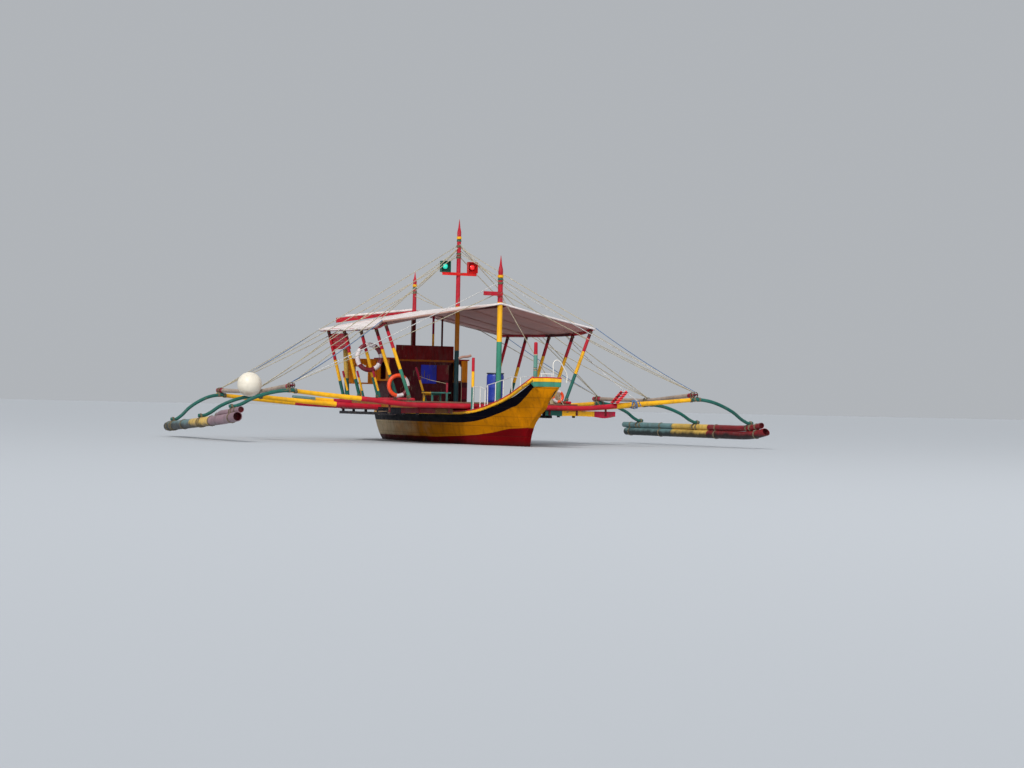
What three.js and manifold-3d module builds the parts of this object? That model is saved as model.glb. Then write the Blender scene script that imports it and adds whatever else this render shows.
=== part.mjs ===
// Double outrigger passenger canoe, built as separate named pieces.
// Millimetres. +X is the bow, +Y is port, +Z is up, and z = 0 is the water.
import * as THREE from 'three';
import { mergeVertices } from 'three/addons/utils/BufferGeometryUtils.js';
import Module from 'manifold-3d';

const wasm = await Module();
wasm.setup();

const GAP = 0.3;                 // clearance between pieces that touch

// Driving sizes of the hull
const BOW_X = 5420;              // flat nose
const STERN_X = -4400;           // top of the raked transom
const KEEL_Z = -350;             // bottom of the hull amidships
const DRAFT_Z = -470;            // bottom of the keel bar
const STEM_HALF = 35;            // half thickness of stem and keel strip
const CAP_HEIGHT = 60;           // gunwale cap above the hull's own top
const CAP_WIDTH = 75;

// Driving sizes of the decks
const DECK_Z = 1040;             // top of the deck boards
const DECK_BOARD = 37;
const MAIN_HALF = 900;
const WING_Y = 2150;             // outer edge of the wing decks
const DECK_REAR = -2850;
const DECK_FRONT = 2690;
const RAIL_Y = 2110;             // deck rail under the canopy posts
const RAIL_R = 35;

// Driving sizes of the outriggers
const BOOM_R = 62;
const BOOM_TIP_R = 50;
const JOINT_Y = 5400;            // boom tip, where boom, arm and long rail are lashed
const ARM_R = 45;
const LONG_R = 65;
const LOWER_R = 105;             // lower float tube
const UPPER_R = 75;              // upper float tube
const FLOAT_Z = 330;             // axis of the lower float tube
const FLOAT_REAR = -3350;
const FLOAT_FRONT = 3690;
const floatY = x => 6802 + 0.0568 * x;        // the floats toe out towards the bow

// Driving sizes of the canopy
const CANOPY_T = 20;
const RIDGE_FRONT = 2680;
const CANOPY_REAR = -3120;
const CANOPY_SWEEP = 590;        // the front corners lie this far behind the peak
const EAVE_R = 35;
const POST_R = 42;
const POST_X = [2044, 1189, -75, -1405, -2592];

const MAST_X = { front: 2615, middle: -50, rear: -3015 };

const root = new THREE.Group();
const paint = (color, roughness = 0.6, metalness = 0) =>
  new THREE.MeshStandardMaterial({ color, roughness, metalness });
const RED = 0xb3262e, YELLOW = 0xe0a91c, GREEN = 0x2f7466, DARK_GREEN = 0x1f4f47;
const MUSTARD = 0xb5730f, WINE = 0x5c1318, WHITE = 0xe9e6df, BOARD = 0x5f4130;

function add(name, geometry, material) {
  const mesh = new THREE.Mesh(geometry, material);
  mesh.name = name;
  root.add(mesh);
  return mesh;
}

// Reads a column of a table by straight lines between its rows
function along(rows, x, column) {
  const s = [...rows].sort((a, b) => a[0] - b[0]);
  if (x <= s[0][0]) return s[0][column];
  for (let i = 1; i < s.length; i++) {
    if (x <= s[i][0]) {
      const t = (x - s[i - 1][0]) / (s[i][0] - s[i - 1][0]);
      return s[i - 1][column] + t * (s[i][column] - s[i - 1][column]);
    }
  }
  return s[s.length - 1][column];
}

// Closed solid through rings of equal point counts, with both ends filled.
// A sheet's ring runs out along its top and back along its underside, so its ends are strips.
function loft(rings, sheet = false) {
  const n = rings[0].length;
  const position = rings.flat(2);
  const index = [];
  for (let r = 0; r + 1 < rings.length; r++) {
    for (let i = 0; i < n; i++) {
      const a = r * n + i, b = r * n + (i + 1) % n, c = a + n, d = b + n;
      index.push(a, c, b, b, c, d);
    }
  }
  for (const [r, flip] of [[0, false], [rings.length - 1, true]]) {
    if (sheet) {
      for (let i = 0; i + 1 < n / 2; i++) {
        const a = r * n + i, b = a + 1, c = r * n + n - 1 - i, d = c - 1;
        index.push(...(flip ? [a, c, b, b, c, d] : [a, b, c, b, d, c]));
      }
      continue;
    }
    const centre = position.length / 3;
    const mid = [0, 1, 2].map(k => rings[r].reduce((sum, p) => sum + p[k], 0) / n);
    position.push(...mid);
    for (let i = 0; i < n; i++) {
      const a = r * n + i, b = r * n + (i + 1) % n;
      index.push(...(flip ? [a, centre, b] : [a, b, centre]));
    }
  }
  const g = new THREE.BufferGeometry();
  g.setAttribute('position', new THREE.Float32BufferAttribute(position, 3));
  g.setIndex(index);
  if (volume(g) < 0) {
    for (let i = 0; i < index.length; i += 3) [index[i], index[i + 1]] = [index[i + 1], index[i]];
    g.setIndex(index);
  }
  g.computeVertexNormals();
  return g;
}

function volume(g) {
  const p = g.getAttribute('position'), ix = g.getIndex().array;
  const v = k => new THREE.Vector3().fromBufferAttribute(p, k);
  let sum = 0;
  for (let i = 0; i < ix.length; i += 3) sum += v(ix[i]).dot(v(ix[i + 1]).cross(v(ix[i + 2])));
  return sum / 6;
}

// Round pole through points [x, y, z]: straight between them, or a smooth curve cut into steps
function pole(points, radius, { sides = 12, steps = 0, radiusAt = () => radius } = {}) {
  const vectors = points.map(p => new THREE.Vector3(...p));
  const curve = steps ? new THREE.CatmullRomCurve3(vectors, false, 'centripetal') : null;
  const count = steps || vectors.length - 1;
  const rings = [];
  for (let i = 0; i <= count; i++) {
    const centre = curve ? curve.getPointAt(i / count) : vectors[i];
    const tangent = curve ? curve.getTangentAt(i / count).normalize()
      : vectors[Math.min(i + 1, count)].clone().sub(vectors[Math.max(i - 1, 0)]).normalize();
    const helper = Math.abs(tangent.x) > 0.9 ? new THREE.Vector3(0, 1, 0) : new THREE.Vector3(1, 0, 0);
    const side = helper.cross(tangent).normalize();
    const up = tangent.clone().cross(side).normalize();
    const r = radiusAt(i / count);
    rings.push(Array.from({ length: sides }, (_, k) => {
      const a = 2 * Math.PI * k / sides;
      const edge = centre.clone().addScaledVector(side, r * Math.cos(a));
      return edge.addScaledVector(up, r * Math.sin(a)).toArray();
    }));
  }
  return loft(rings);
}

function box(x0, x1, y0, y1, z0, z1) {
  const g = new THREE.BoxGeometry(x1 - x0, y1 - y0, z1 - z0);
  g.translate((x0 + x1) / 2, (y0 + y1) / 2, (z0 + z1) / 2);
  return g;
}

// Upright bar turned from a profile of [radius, z] rows
function turned(profile, x, y, sides = 20) {
  const g = new THREE.LatheGeometry(profile.map(([r, z]) => new THREE.Vector2(r, z)), sides);
  g.rotateX(Math.PI / 2);
  g.translate(x, y, 0);
  return g;
}

// Outline in the XZ plane [x, z], with a thickness across the boat
function plateXZ(outline, y0, y1, holes = []) {
  const shape = new THREE.Shape(outline.map(([x, z]) => new THREE.Vector2(x, z)));
  for (const hole of holes) shape.holes.push(new THREE.Path(hole.map(([x, z]) => new THREE.Vector2(x, z))));
  const g = new THREE.ExtrudeGeometry(shape, { depth: y1 - y0, bevelEnabled: false });
  g.rotateX(Math.PI / 2);
  g.translate(0, y1, 0);
  return g;
}

// Outline in the YZ plane [y, z], with a thickness along the boat
function plateYZ(outline, x0, x1, holes = []) {
  const shape = new THREE.Shape(outline.map(([y, z]) => new THREE.Vector2(y, z)));
  for (const hole of holes) shape.holes.push(new THREE.Path(hole.map(([y, z]) => new THREE.Vector2(y, z))));
  const g = new THREE.ExtrudeGeometry(shape, { depth: x1 - x0, bevelEnabled: false });
  g.rotateZ(Math.PI / 2).rotateY(Math.PI / 2);
  g.translate(x0, 0, 0);
  return g;
}

const rectangle = (a0, a1, b0, b1) => [[a0, b0], [a1, b0], [a1, b1], [a0, b1]];

// Booleans with manifold-3d
function solid(g) {
  const bare = g.clone();
  for (const key of ['normal', 'uv', 'color']) bare.deleteAttribute(key);
  const merged = mergeVertices(bare, 1e-3);
  return new wasm.Manifold(new wasm.Mesh({
    numProp: 3,
    vertProperties: new Float32Array(merged.getAttribute('position').array),
    triVerts: new Uint32Array(merged.getIndex().array),
  }));
}

function geometry(manifold) {
  const mesh = manifold.getMesh();
  const g = new THREE.BufferGeometry();
  g.setAttribute('position', new THREE.BufferAttribute(new Float32Array(mesh.vertProperties), 3));
  g.setIndex(new THREE.BufferAttribute(new Uint32Array(mesh.triVerts), 1));
  g.computeVertexNormals();
  return g;
}

const join = parts => geometry(parts.map(solid).reduce((a, b) => a.add(b)));
const cut = (body, tools) => geometry(tools.map(solid).reduce((a, b) => a.subtract(b), solid(body)));
const cylinder = (x, y, z0, z1, r, sides = 24) =>
  turned([[0, z0], [r, z0], [r, z1], [0, z1]], x, y, sides);
const cylinderX = (x0, x1, y, z, r, sides = 20) => {
  const g = new THREE.CylinderGeometry(r, r, x1 - x0, sides);
  g.rotateZ(Math.PI / 2);
  g.translate((x0 + x1) / 2, y, z);
  return g;
};

// Hull. Each row: x, height of the bottom edge, height of the rail, half beam at the rail, fullness.
// A low fullness gives a round section and a high one a sharp vee.
const HULL = [
  [STERN_X, 620, 760, 545, 0.30],
  [-4330, 330, 762, 560, 0.32],
  [-4255, 60, 763, 580, 0.33],
  [-4190, -110, 764, 600, 0.33],
  [-3900, -180, 766, 660, 0.32],
  [-3000, KEEL_Z, 770, 800, 0.27],
  [-1500, KEEL_Z, 773, 915, 0.25],
  [0, KEEL_Z, 778, 950, 0.25],
  [1200, KEEL_Z, 783, 945, 0.27],
  [2217, KEEL_Z, 792, 915, 0.31],
  [3000, KEEL_Z, 833, 868, 0.42],
  [3470, KEEL_Z, 907, 790, 0.90],
  [3900, -320, 1020, 690, 1.50],
  [4200, -235, 1110, 618, 1.90],
  [4395, -60, 1177, 580, 2.05],
  [4430, 140, 1189, 574, 2.00],
  [4490, 310, 1210, 565, 1.90],
  [4574, 450, 1239, 553, 1.85],
  [4700, 585, 1288, 538, 1.85],
  [4870, 705, 1359, 516, 1.85],
  [5050, 820, 1442, 480, 1.80],
  [5220, 905, 1528, 434, 1.65],
  [5330, 985, 1590, 396, 1.35],
  [5395, 1170, 1631, 370, 0.85],
  [BOW_X, 1390, 1645, 360, 0.16],
];
const [BOTTOM, RAIL, BEAM, FULL] = [1, 2, 3, 4];
const HULL_LEVELS = [0, 0.015, 0.045, 0.1, 0.18, 0.29, 0.42, 0.57, 0.73, 0.88, 1];
const railZ = x => along(HULL, x, RAIL);
const railY = x => along(HULL, x, BEAM);
const hullTop = x => railZ(x) - CAP_HEIGHT;
const hullWidth = (row, z) => {
  const t = Math.min(1, Math.max(0, (z - row[BOTTOM]) / (row[RAIL] - row[BOTTOM])));
  return STEM_HALF + (row[BEAM] - STEM_HALF) * t ** row[FULL];
};
const hullBody = loft(HULL.map(row => {
  const top = row[RAIL] - CAP_HEIGHT;
  const side = HULL_LEVELS.map(t => {
    const z = row[BOTTOM] + t * (top - row[BOTTOM]);
    return [row[0], hullWidth(row, z), z];
  });
  return [...side, ...side.map(([x, y, z]) => [x, -y, z]).reverse()];
}));

// Open well under the main deck for the engine
const ENGINE = { x0: -2050, x1: -1200, half: 280, floor: -60, height: 560 };
add('hull', cut(hullBody, [
  box(ENGINE.x0 - 120, ENGINE.x1 + 120, -ENGINE.half - 70, ENGINE.half + 70, ENGINE.floor, 900),
]), paint(MUSTARD, 0.5));
const engineZ = [ENGINE.floor + GAP, ENGINE.floor + ENGINE.height];
add('engine', box(ENGINE.x0, ENGINE.x1, -ENGINE.half, ENGINE.half, ...engineZ), paint(0x4b5052, 0.5, 0.4));

// Keel bar with the deadwood that carries the propeller shaft
const SHAFT = { z: -400, r: 16, play: 0.6, rear: -3700 };
const shaftBore = cylinderX(SHAFT.rear - 10, SHAFT.rear + 400, 0, SHAFT.z, SHAFT.r + SHAFT.play);
add('keel', cut(plateXZ([
  [3400, KEEL_Z - GAP], [3150, DRAFT_Z], [SHAFT.rear, DRAFT_Z], [SHAFT.rear, -350],
  [SHAFT.rear, -221], [-3000, KEEL_Z - GAP],
], -STEM_HALF, STEM_HALF), [shaftBore]), paint(WINE, 0.7));

// Propeller with its shaft, turning free in the deadwood
const PROP = { x: -3760, r: 140, hub: 34, blades: 3 };
const blade = turn => {
  const g = new THREE.BoxGeometry(12, 76, PROP.r - 14);
  g.translate(0, 0, (PROP.r + 14) / 2);
  g.rotateZ(0.55);
  g.rotateX(turn);
  g.translate(PROP.x, 0, SHAFT.z);
  return g;
};
add('propeller', join([
  cylinderX(PROP.x - 38, PROP.x + 38, 0, SHAFT.z, PROP.hub),
  cylinderX(PROP.x, SHAFT.rear + 360, 0, SHAFT.z, SHAFT.r),
  ...Array.from({ length: PROP.blades }, (_, k) => blade(2 * Math.PI * k / PROP.blades)),
]), paint(0x9a7b3a, 0.35, 0.8));

// Stern post on the raked transom, with two gudgeons, and the rudder hung on them
const RUDDER = { axis: -4520, stock: 24, pin: 13, foot: -560, head: 1210, chord: 430 };
const GUDGEON_Z = [180, 640];
const postFace = RUDDER.axis + 45;
const transomFace = HULL.slice(0, 4).reverse().map(([x, z]) => [x - GAP, z]);
const postTop = 700;
add('stern_post', cut(join([
  plateXZ([...transomFace, [STERN_X - GAP, postTop], [postFace, postTop], [postFace, transomFace[0][1]]],
    -STEM_HALF, STEM_HALF),
  ...GUDGEON_Z.map(z => box(RUDDER.axis - 32, postFace + 5, -30, 30, z - 20, z + 20)),
]), GUDGEON_Z.map(z => cylinder(RUDDER.axis, 0, z - 30, z + 30, RUDDER.pin + SHAFT.play))), paint(MUSTARD, 0.6));
const notch = 28;
const stockRows = [[0, RUDDER.foot], [RUDDER.stock, RUDDER.foot]];
for (const z of GUDGEON_Z) {
  for (const [r, dz] of [[RUDDER.stock, -notch], [RUDDER.pin, -notch], [RUDDER.pin, notch], [RUDDER.stock, notch]]) {
    stockRows.push([r, z + dz]);
  }
}
stockRows.push([RUDDER.stock, RUDDER.head], [0, RUDDER.head]);
const bladeOutline = [[0, RUDDER.foot], [-RUDDER.chord, RUDDER.foot + 60], [-RUDDER.chord, 40], [-160, 420],
  [-120, 780], [0, 780]].map(([dx, z]) => [RUDDER.axis + dx, z]);
add('rudder', join([
  turned(stockRows, RUDDER.axis, 0),
  cut(plateXZ(bladeOutline, -16, 16),
    GUDGEON_Z.map(z => box(RUDDER.axis - 60, RUDDER.axis + 60, -60, 60, z - notch, z + notch))),
  box(RUDDER.axis - 40, RUDDER.axis + 760, -20, 20, RUDDER.head - 50, RUDDER.head - 10),
]), paint(WINE, 0.6));

// Gunwale caps along both rails, from the transom to the nose
for (const [label, s] of [['starboard', -1], ['port', 1]]) {
  add(`gunwale_${label}`, loft(HULL.map(([x]) => {
    const y = railY(x), z = railZ(x);
    const outer = s * (y + 12), inner = s * (y - CAP_WIDTH + 12);
    return [[x, outer, z - CAP_HEIGHT + GAP], [x, outer, z], [x, inner, z], [x, inner, z - CAP_HEIGHT + GAP]];
  })), paint(YELLOW, 0.5));
}

// Board across the flat nose, with a low pipe rail on its crown
const NOSE = { top: 1645, crown: 1665, rail: 1735, pipe: 13, x: BOW_X + 20 };
add('nose_board', join([
  plateYZ([[-358, 1440], [358, 1440], [372, NOSE.top], [200, NOSE.crown], [-200, NOSE.crown], [-372, NOSE.top]],
    BOW_X + GAP, BOW_X + 40),
  pole([[NOSE.x, -184, NOSE.rail], [NOSE.x, 153, NOSE.rail]], NOSE.pipe),
  ...[-150, 120].map(y => pole([[NOSE.x, y, NOSE.crown - 30], [NOSE.x, y, NOSE.rail]], NOSE.pipe)),
]), paint(GREEN, 0.5));

// Booms. Each row: name, x, then the axis height at the hull, at the colour change and at the tip
const BOOMS = [
  ['front', 2765, 940, 1045, 1222],
  ['middle', 182, 876, 922, 1070],
  ['rear', -2754, 876, 925, 1086],
];
const BOOM_REACH = JOINT_Y + 120, TAPER_Y = 3300;
const boomBody = ([, x, z0, z1, z2], grown = 0) => {
  const half = [[700, z0], [2200, z0], [2800, z0 + 0.4 * (z1 - z0)], [3400, z1],
    [4400, z1 + 0.46 * (z2 - z1)], [BOOM_REACH, z2 + 12]];
  const points = [...half.map(([y, z]) => [x, -y, z]).reverse(), ...half.map(([y, z]) => [x, y, z])];
  return pole(points, BOOM_R, {
    steps: 26,
    radiusAt: t => {
      const y = Math.abs(2 * t - 1) * BOOM_REACH;
      return grown + BOOM_R + (BOOM_TIP_R - BOOM_R) * Math.max(0, y - TAPER_Y) / (BOOM_REACH - TAPER_Y);
    },
  });
};

// Boards on cleats hang from the front boom as spray guards. Each row: y, lower edge.
const GUARD_EDGE = [[1243, 745], [1620, 736], [2300, 744], [2600, 735], [2860, 700], [3180, 752]];
const GUARD = { x: 2700, thick: 22, top: 874, cleats: [[1350, 940], [2100, 940], [2900, 985]] };
const guard = s => [
  plateYZ([...GUARD_EDGE, [3180, GUARD.top], [1243, GUARD.top]].map(([y, z]) => [s * y, z]),
    GUARD.x, GUARD.x + GUARD.thick),
  ...GUARD.cleats.map(([y, z]) => box(GUARD.x + 15, GUARD.x + 45, s * y - 25, s * y + 25, 760, z)),
];
for (const boom of BOOMS) {
  const [label, x, z0] = boom;
  const body = boomBody(boom);
  add(`boom_${label}`, label === 'front' ? join([body, ...guard(-1), ...guard(1)]) : body, paint(RED, 0.5));
  const foot = Math.max(hullTop(x - 75), hullTop(x + 75)) + GAP;
  add(`boom_seat_${label}`, box(x - 75, x + 75, -560, 560, foot, z0 - BOOM_R - GAP), paint(BOARD, 0.8));
}

// Short ladder of slats that leans on the port side of the front boom
const LADDER = { foot: [3060, 1085], head: [3340, 1385], stiles: [2740, 3020], slats: 6 };
const ladderRun = LADDER.head[0] - LADDER.foot[0], ladderRise = LADDER.head[1] - LADDER.foot[1];
const stile = x => {
  const g = new THREE.BoxGeometry(30, Math.hypot(ladderRun, ladderRise), 70);
  g.rotateX(Math.atan2(ladderRise, ladderRun));
  g.translate(x, LADDER.foot[0] + ladderRun / 2, LADDER.foot[1] + ladderRise / 2);
  return g;
};
const slats = Array.from({ length: LADDER.slats }, (_, k) => {
  const t = 0.06 + 0.17 * k, y = LADDER.foot[0] + ladderRun * t, z = LADDER.foot[1] + ladderRise * t;
  return box(LADDER.stiles[0] - 15, LADDER.stiles[1] + 15, y - 52, y + 52, z - 8, z + 10);
});
add('ladder', cut(join([...LADDER.stiles.map(stile), ...slats]), [boomBody(BOOMS[0], GAP)]), paint(RED, 0.5));

// Arms that curve down from the boom tips to the floats.
// Each row: boom, lift of the shoulder over the boom tip, and how far in front of the boom it is lashed
// The port float lies level with its thin tube on top. The starboard one climbs towards the bow, is
// thicker, and its thin tube lies against its inner side.
const STARBOARD_R = 115;
const lowerR = s => s > 0 ? LOWER_R : STARBOARD_R;
const floatZ = (x, s) => s > 0
  ? FLOAT_Z + (x > 2500 ? 126 * ((x - 2500) / (FLOAT_FRONT - 2500)) ** 2 : 0)
  : 258 + 0.043 * (x - FLOAT_REAR) + (x > 1500 ? 35 * ((x - 1500) / (FLOAT_FRONT - 1500)) ** 2 : 0);
// The starboard thin tube lies beside the thick one aft, and climbs on top of it towards the bow
const lean = x => Math.PI * 0.32 * THREE.MathUtils.smoothstep(x, 300, 1900);
const upperReach = x => STARBOARD_R + UPPER_R + GAP + 0.2 + 5 * THREE.MathUtils.smoothstep(x, 100, 600);
const upperY = (x, s) => floatY(x) - (s > 0 ? 0 : upperReach(x) * Math.cos(lean(x)));
const upperZ = (x, s) => floatZ(x, s) + (s > 0
  ? LOWER_R + UPPER_R + GAP + Math.max(0, x - 2300) * 0.012
  : upperReach(x) * Math.sin(lean(x)));
for (const [label, s] of [['starboard', -1], ['port', 1]]) {
  for (const [boom, x, , , z] of BOOMS) {
    const ax = x + BOOM_TIP_R + ARM_R + 1.1;
    const low = s < 0 && ax < 2500;      // these two feet lie on the thick tube
    const yf = low ? floatY(ax) : upperY(ax, s);
    const seat = (low ? floatZ(ax, s) + STARBOARD_R : upperZ(ax, s) + UPPER_R) + ARM_R + GAP + (ax > 2500 ? 2.4 : 0.5);
    const drop = z - seat, run = yf - JOINT_Y;
    const shape = [[-100, -6], [0, 8], [0.24 * run, -0.06 * drop], [0.46 * run, -0.24 * drop],
      [0.68 * run, -0.52 * drop], [0.84 * run, -0.83 * drop], [0.95 * run, -drop + 6], [run - 30, -drop],
      [run + 20, -drop], [run + 95, -drop]].map(([dy, dz]) => [ax, s * (JOINT_Y + dy), z + dz]);
    add(`arm_${boom}_${label}`, pole(shape, ARM_R, { steps: 16 }), paint(DARK_GREEN, 0.5));
  }
}

// Long rails that tie the boom tips together, lying on the booms
const lie = z => z + BOOM_TIP_R + LONG_R + (z > 1200 ? 4.4 : z > 1075 ? 3.9 : 2.2);
const longRail = (s, grown = 0) => {
  const [front, middle, rear] = BOOMS;
  return pole([
    [front[1] + 60, lie(front[4]) + 2], [front[1], lie(front[4])],
    [1400, 0.5 * lie(front[4]) + 0.5 * lie(middle[4]) - 8], [middle[1], lie(middle[4])],
    [-1300, lie(middle[4]) + 4], [rear[1], lie(rear[4])], [rear[1] - 260, lie(rear[4])],
  ].map(([x, z]) => [x, s * JOINT_Y, z]), LONG_R + grown, { steps: 14 });
};
for (const [label, s] of [['starboard', -1], ['port', 1]]) {
  add(`outrigger_rail_${label}`, longRail(s), paint(RED, 0.5));
}

// Floats: a thick lower tube with a cut open front end, and a thinner tube lashed on top
for (const [label, s] of [['starboard', -1], ['port', 1]]) {
  const xs = [FLOAT_REAR, -1700, 0, 1500, 2500, 2900, 3300, FLOAT_FRONT];
  const lower = pole(xs.map(x => [x, s * floatY(x), floatZ(x, s)]), lowerR(s), { sides: 16, steps: 16 });
  const mouth = pole([[FLOAT_FRONT - 240, s * floatY(FLOAT_FRONT - 240), floatZ(FLOAT_FRONT - 240, s)],
    [FLOAT_FRONT + 60, s * floatY(FLOAT_FRONT + 60), floatZ(FLOAT_FRONT, s) + 20]], lowerR(s) - 16, { sides: 16 });
  const bevel = new THREE.BoxGeometry(400, 500, 500);
  bevel.rotateY(0.62);
  bevel.translate(FLOAT_FRONT + 165, s * floatY(FLOAT_FRONT), floatZ(FLOAT_FRONT, s) + 150);
  add(`float_lower_${label}`, cut(lower, s > 0 ? [mouth, bevel] : [mouth]), paint(YELLOW, 0.45));
  const reach = s > 0 ? [-3500, -1700, 0, 1500, 2500, 2950, 3420]
    : [FLOAT_REAR, -1700, -900, -400, -100, 150, 400, 620, 850, 1100, 1350, 1600, 1900, 2250, 2700, 3150, 3600];
  const upper = reach.map(x => [x, s * upperY(x, s), upperZ(x, s)]);
  add(`float_upper_${label}`, pole(upper, UPPER_R, s > 0 ? { steps: 14 } : { sides: 16, steps: 39 }), paint(YELLOW, 0.45));
}

// Decks on their bearers. The bearers lie on the middle and rear booms.
const BEARER_Z = 876 + BOOM_R + GAP;
const DECK_UNDER = DECK_Z - DECK_BOARD;
const deckSection = (y0, y1, bearers) => {
  const under = bearers.flatMap(([a, b]) => [[a, DECK_UNDER], [a, BEARER_Z], [b, BEARER_Z], [b, DECK_UNDER]]);
  return [[y0, DECK_Z], [y0, DECK_UNDER], ...under, [y1, DECK_UNDER], [y1, DECK_Z]];
};
const mainSection = deckSection(-MAIN_HALF, MAIN_HALF, [[-680, -600], [600, 680]]);
add('main_deck', plateYZ(mainSection, STERN_X + 60, 2535), paint(0x74604b, 0.85));
const SKIRT = { foot: 795, thick: 20 };      // board nailed along the wing decks' outer edges
const skirtNotches = BOOMS.slice(1).map(([, x]) =>
  box(x - BOOM_R - 6, x + BOOM_R + 6, -WING_Y - 10, WING_Y + 10, SKIRT.foot - 10, BEARER_Z));
const wingDeck = s => {
  const across = (a, b) => [s * a, s * b].sort((p, q) => p - q);
  const bearers = [[1000, 1080], [2050, 2130]].map(([a, b]) => across(a, b)).sort((p, q) => p[0] - q[0]);
  const boards = plateYZ(deckSection(...across(MAIN_HALF + GAP, WING_Y), bearers), DECK_REAR, DECK_FRONT);
  const skirt = box(DECK_REAR, DECK_FRONT, ...across(WING_Y - SKIRT.thick - 2, WING_Y), SKIRT.foot, DECK_UNDER + 5);
  return cut(join([boards, skirt]), skirtNotches);
};
add('wing_deck_port', wingDeck(1), paint(BOARD, 0.85));
add('wing_deck_starboard', wingDeck(-1), paint(BOARD, 0.85));

// Deck rails along the wing edges
const railAxis = DECK_Z + RAIL_R + GAP;
for (const [label, s] of [['starboard', -1], ['port', 1]]) {
  const ends = [DECK_REAR, 2330].map(x => [x, s * RAIL_Y, railAxis]);
  add(`deck_rail_${label}`, pole(ends, RAIL_R), paint(RED, 0.5));
}

// Canopy. Each row: x at the eave, ridge height, eave height, half width. The front edge is held up,
// and each row runs forward from eave to ridge, up to the sweep of the front edge.
const CANOPY = [
  [CANOPY_REAR, 3440, 2890, 2650],
  [-2592, 3452, 2888, 2650],
  [-1405, 3472, 2866, 2655],
  [-75, 3490, 2850, 2700],
  [1189, 3498, 2862, 2780],
  [1700, 3500, 2905, 2830],
  [RIDGE_FRONT - CANOPY_SWEEP, 3505, 2985, 2880],
];
const [RIDGE, EAVE, HALF] = [1, 2, 3];
const canopyRows = [];
const ACROSS = 4;
const CORNER_X = RIDGE_FRONT - CANOPY_SWEEP;
const ridgeX = x => CANOPY_REAR + (x - CANOPY_REAR) * (RIDGE_FRONT - CANOPY_REAR) / (CORNER_X - CANOPY_REAR);
for (const [x, ridge, eave, half] of CANOPY) {
  const top = [], under = [];
  for (let j = -ACROSS; j <= ACROSS; j++) {
    const w = Math.abs(j / ACROSS), z = ridge - (ridge - eave) * w;
    const point = [ridgeX(x) + (x - ridgeX(x)) * w, half * j / ACROSS];
    top.push([...point, z]);
    under.push([...point, z - CANOPY_T]);
  }
  canopyRows.push([...top, ...under.reverse()]);
}
const MAST_R = { front: 68, middle: 61, rear: 56 };
add('canopy', cut(loft(canopyRows, true), Object.entries(MAST_X).map(([key, x]) =>
  cylinder(x, 0, 3200, 3700, MAST_R[key] + 6))), paint(WHITE, 0.9));

// Ridge pole lashed to the port side of the masts, just under the canopy
const RIDGE_R = 38, ridgeSide = 112;
const slopeOf = row => (row[RIDGE] - row[EAVE]) / row[HALF];
const under = (row, side, r) =>
  row[EAVE] + slopeOf(row) * side - CANOPY_T - (r + 1) * Math.hypot(1, slopeOf(row));
const ridgePoints = CANOPY.map(row => [ridgeX(row[0]), ridgeSide, under(row, row[HALF] - ridgeSide, RIDGE_R)]);
const [ridgeEndX, , ridgeEndZ] = ridgePoints[0];
ridgePoints.unshift([ridgeEndX - 130, ridgeSide, ridgeEndZ]);
add('ridge_pole', pole(ridgePoints, RIDGE_R), paint(RED, 0.5));

// Canopy frames: on each side five leaning posts joined by the eave pole
const EAVE_INSET = 75;
const bowDrop = 7;                // clears the canopy where its front edge is held up
const eaveRows = CANOPY.map(row =>
  [row[0], row[HALF] - EAVE_INSET, under(row, EAVE_INSET, EAVE_R) - (row[0] > 1500 ? bowDrop : 0)]);
eaveRows[0][0] -= 40;
eaveRows[eaveRows.length - 1][0] -= 12;
const eaveSide = x => along(eaveRows, x, 1);
const eaveAxis = x => along(eaveRows, x, 2);
for (const [label, s] of [['starboard', -1], ['port', 1]]) {
  const eave = pole(eaveRows.map(([x, y, z]) => [x, s * y, z]), EAVE_R);
  const posts = POST_X.map(x => pole([[x, s * RAIL_Y, railAxis], [x, s * eaveSide(x), eaveAxis(x)]], POST_R));
  const level = box(-4000, 4000, -4000, 4000, railAxis - 400, railAxis + RAIL_R + GAP);
  add(`canopy_frame_${label}`, cut(join([eave, ...posts]), [level]), paint(RED, 0.5));
}

// Masts with pointed heads. Each row: name, foot, shoulder, tip
const MASTS = [
  ['front', hullTop(MAST_X.front + MAST_R.front) + GAP, 4560, 4660],
  ['middle', DECK_Z + GAP, 5600, 5712],
  ['rear', DECK_Z + GAP, 4400, 4498],
];
const mastBody = ([label, foot, shoulder, tip], grown = 0) => {
  const r = MAST_R[label] + grown;
  const profile = [[0, foot], [r, foot], [r * 0.95, 3500], [r * 0.78, shoulder], [5, tip], [0, tip]];
  return turned(profile, MAST_X[label], 0);
};
const mastBoard = box(MAST_X.front + 57, MAST_X.front + 82, -480, 30, 3660, 3760);
for (const mast of MASTS) {
  const [label] = mast;
  add(`mast_${label}`, label === 'front' ? join([mastBody(mast), mastBoard]) : mastBody(mast), paint(RED, 0.5));
}

// Main stays, drawn taut from the masts to the long rails at the boom tips.
// Each row: mast, height of the knot on it, boom
const STAY_R = 8;
for (const [mast, knotZ, boom] of [[MASTS[0], 3980, BOOMS[0]], [MASTS[1], 5020, BOOMS[2]]]) {
  for (const [label, s] of [['starboard', -1], ['port', 1]]) {
    const ends = [[MAST_X[mast[0]], 0, knotZ], [boom[1], s * JOINT_Y, lie(boom[4])]];
    const rope = cut(pole(ends, STAY_R, { sides: 8 }), [mastBody(mast, GAP + 0.1), longRail(s, GAP)]);
    add(`stay_${mast[0]}_${label}`, rope, paint(WHITE, 0.9));
  }
}

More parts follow.
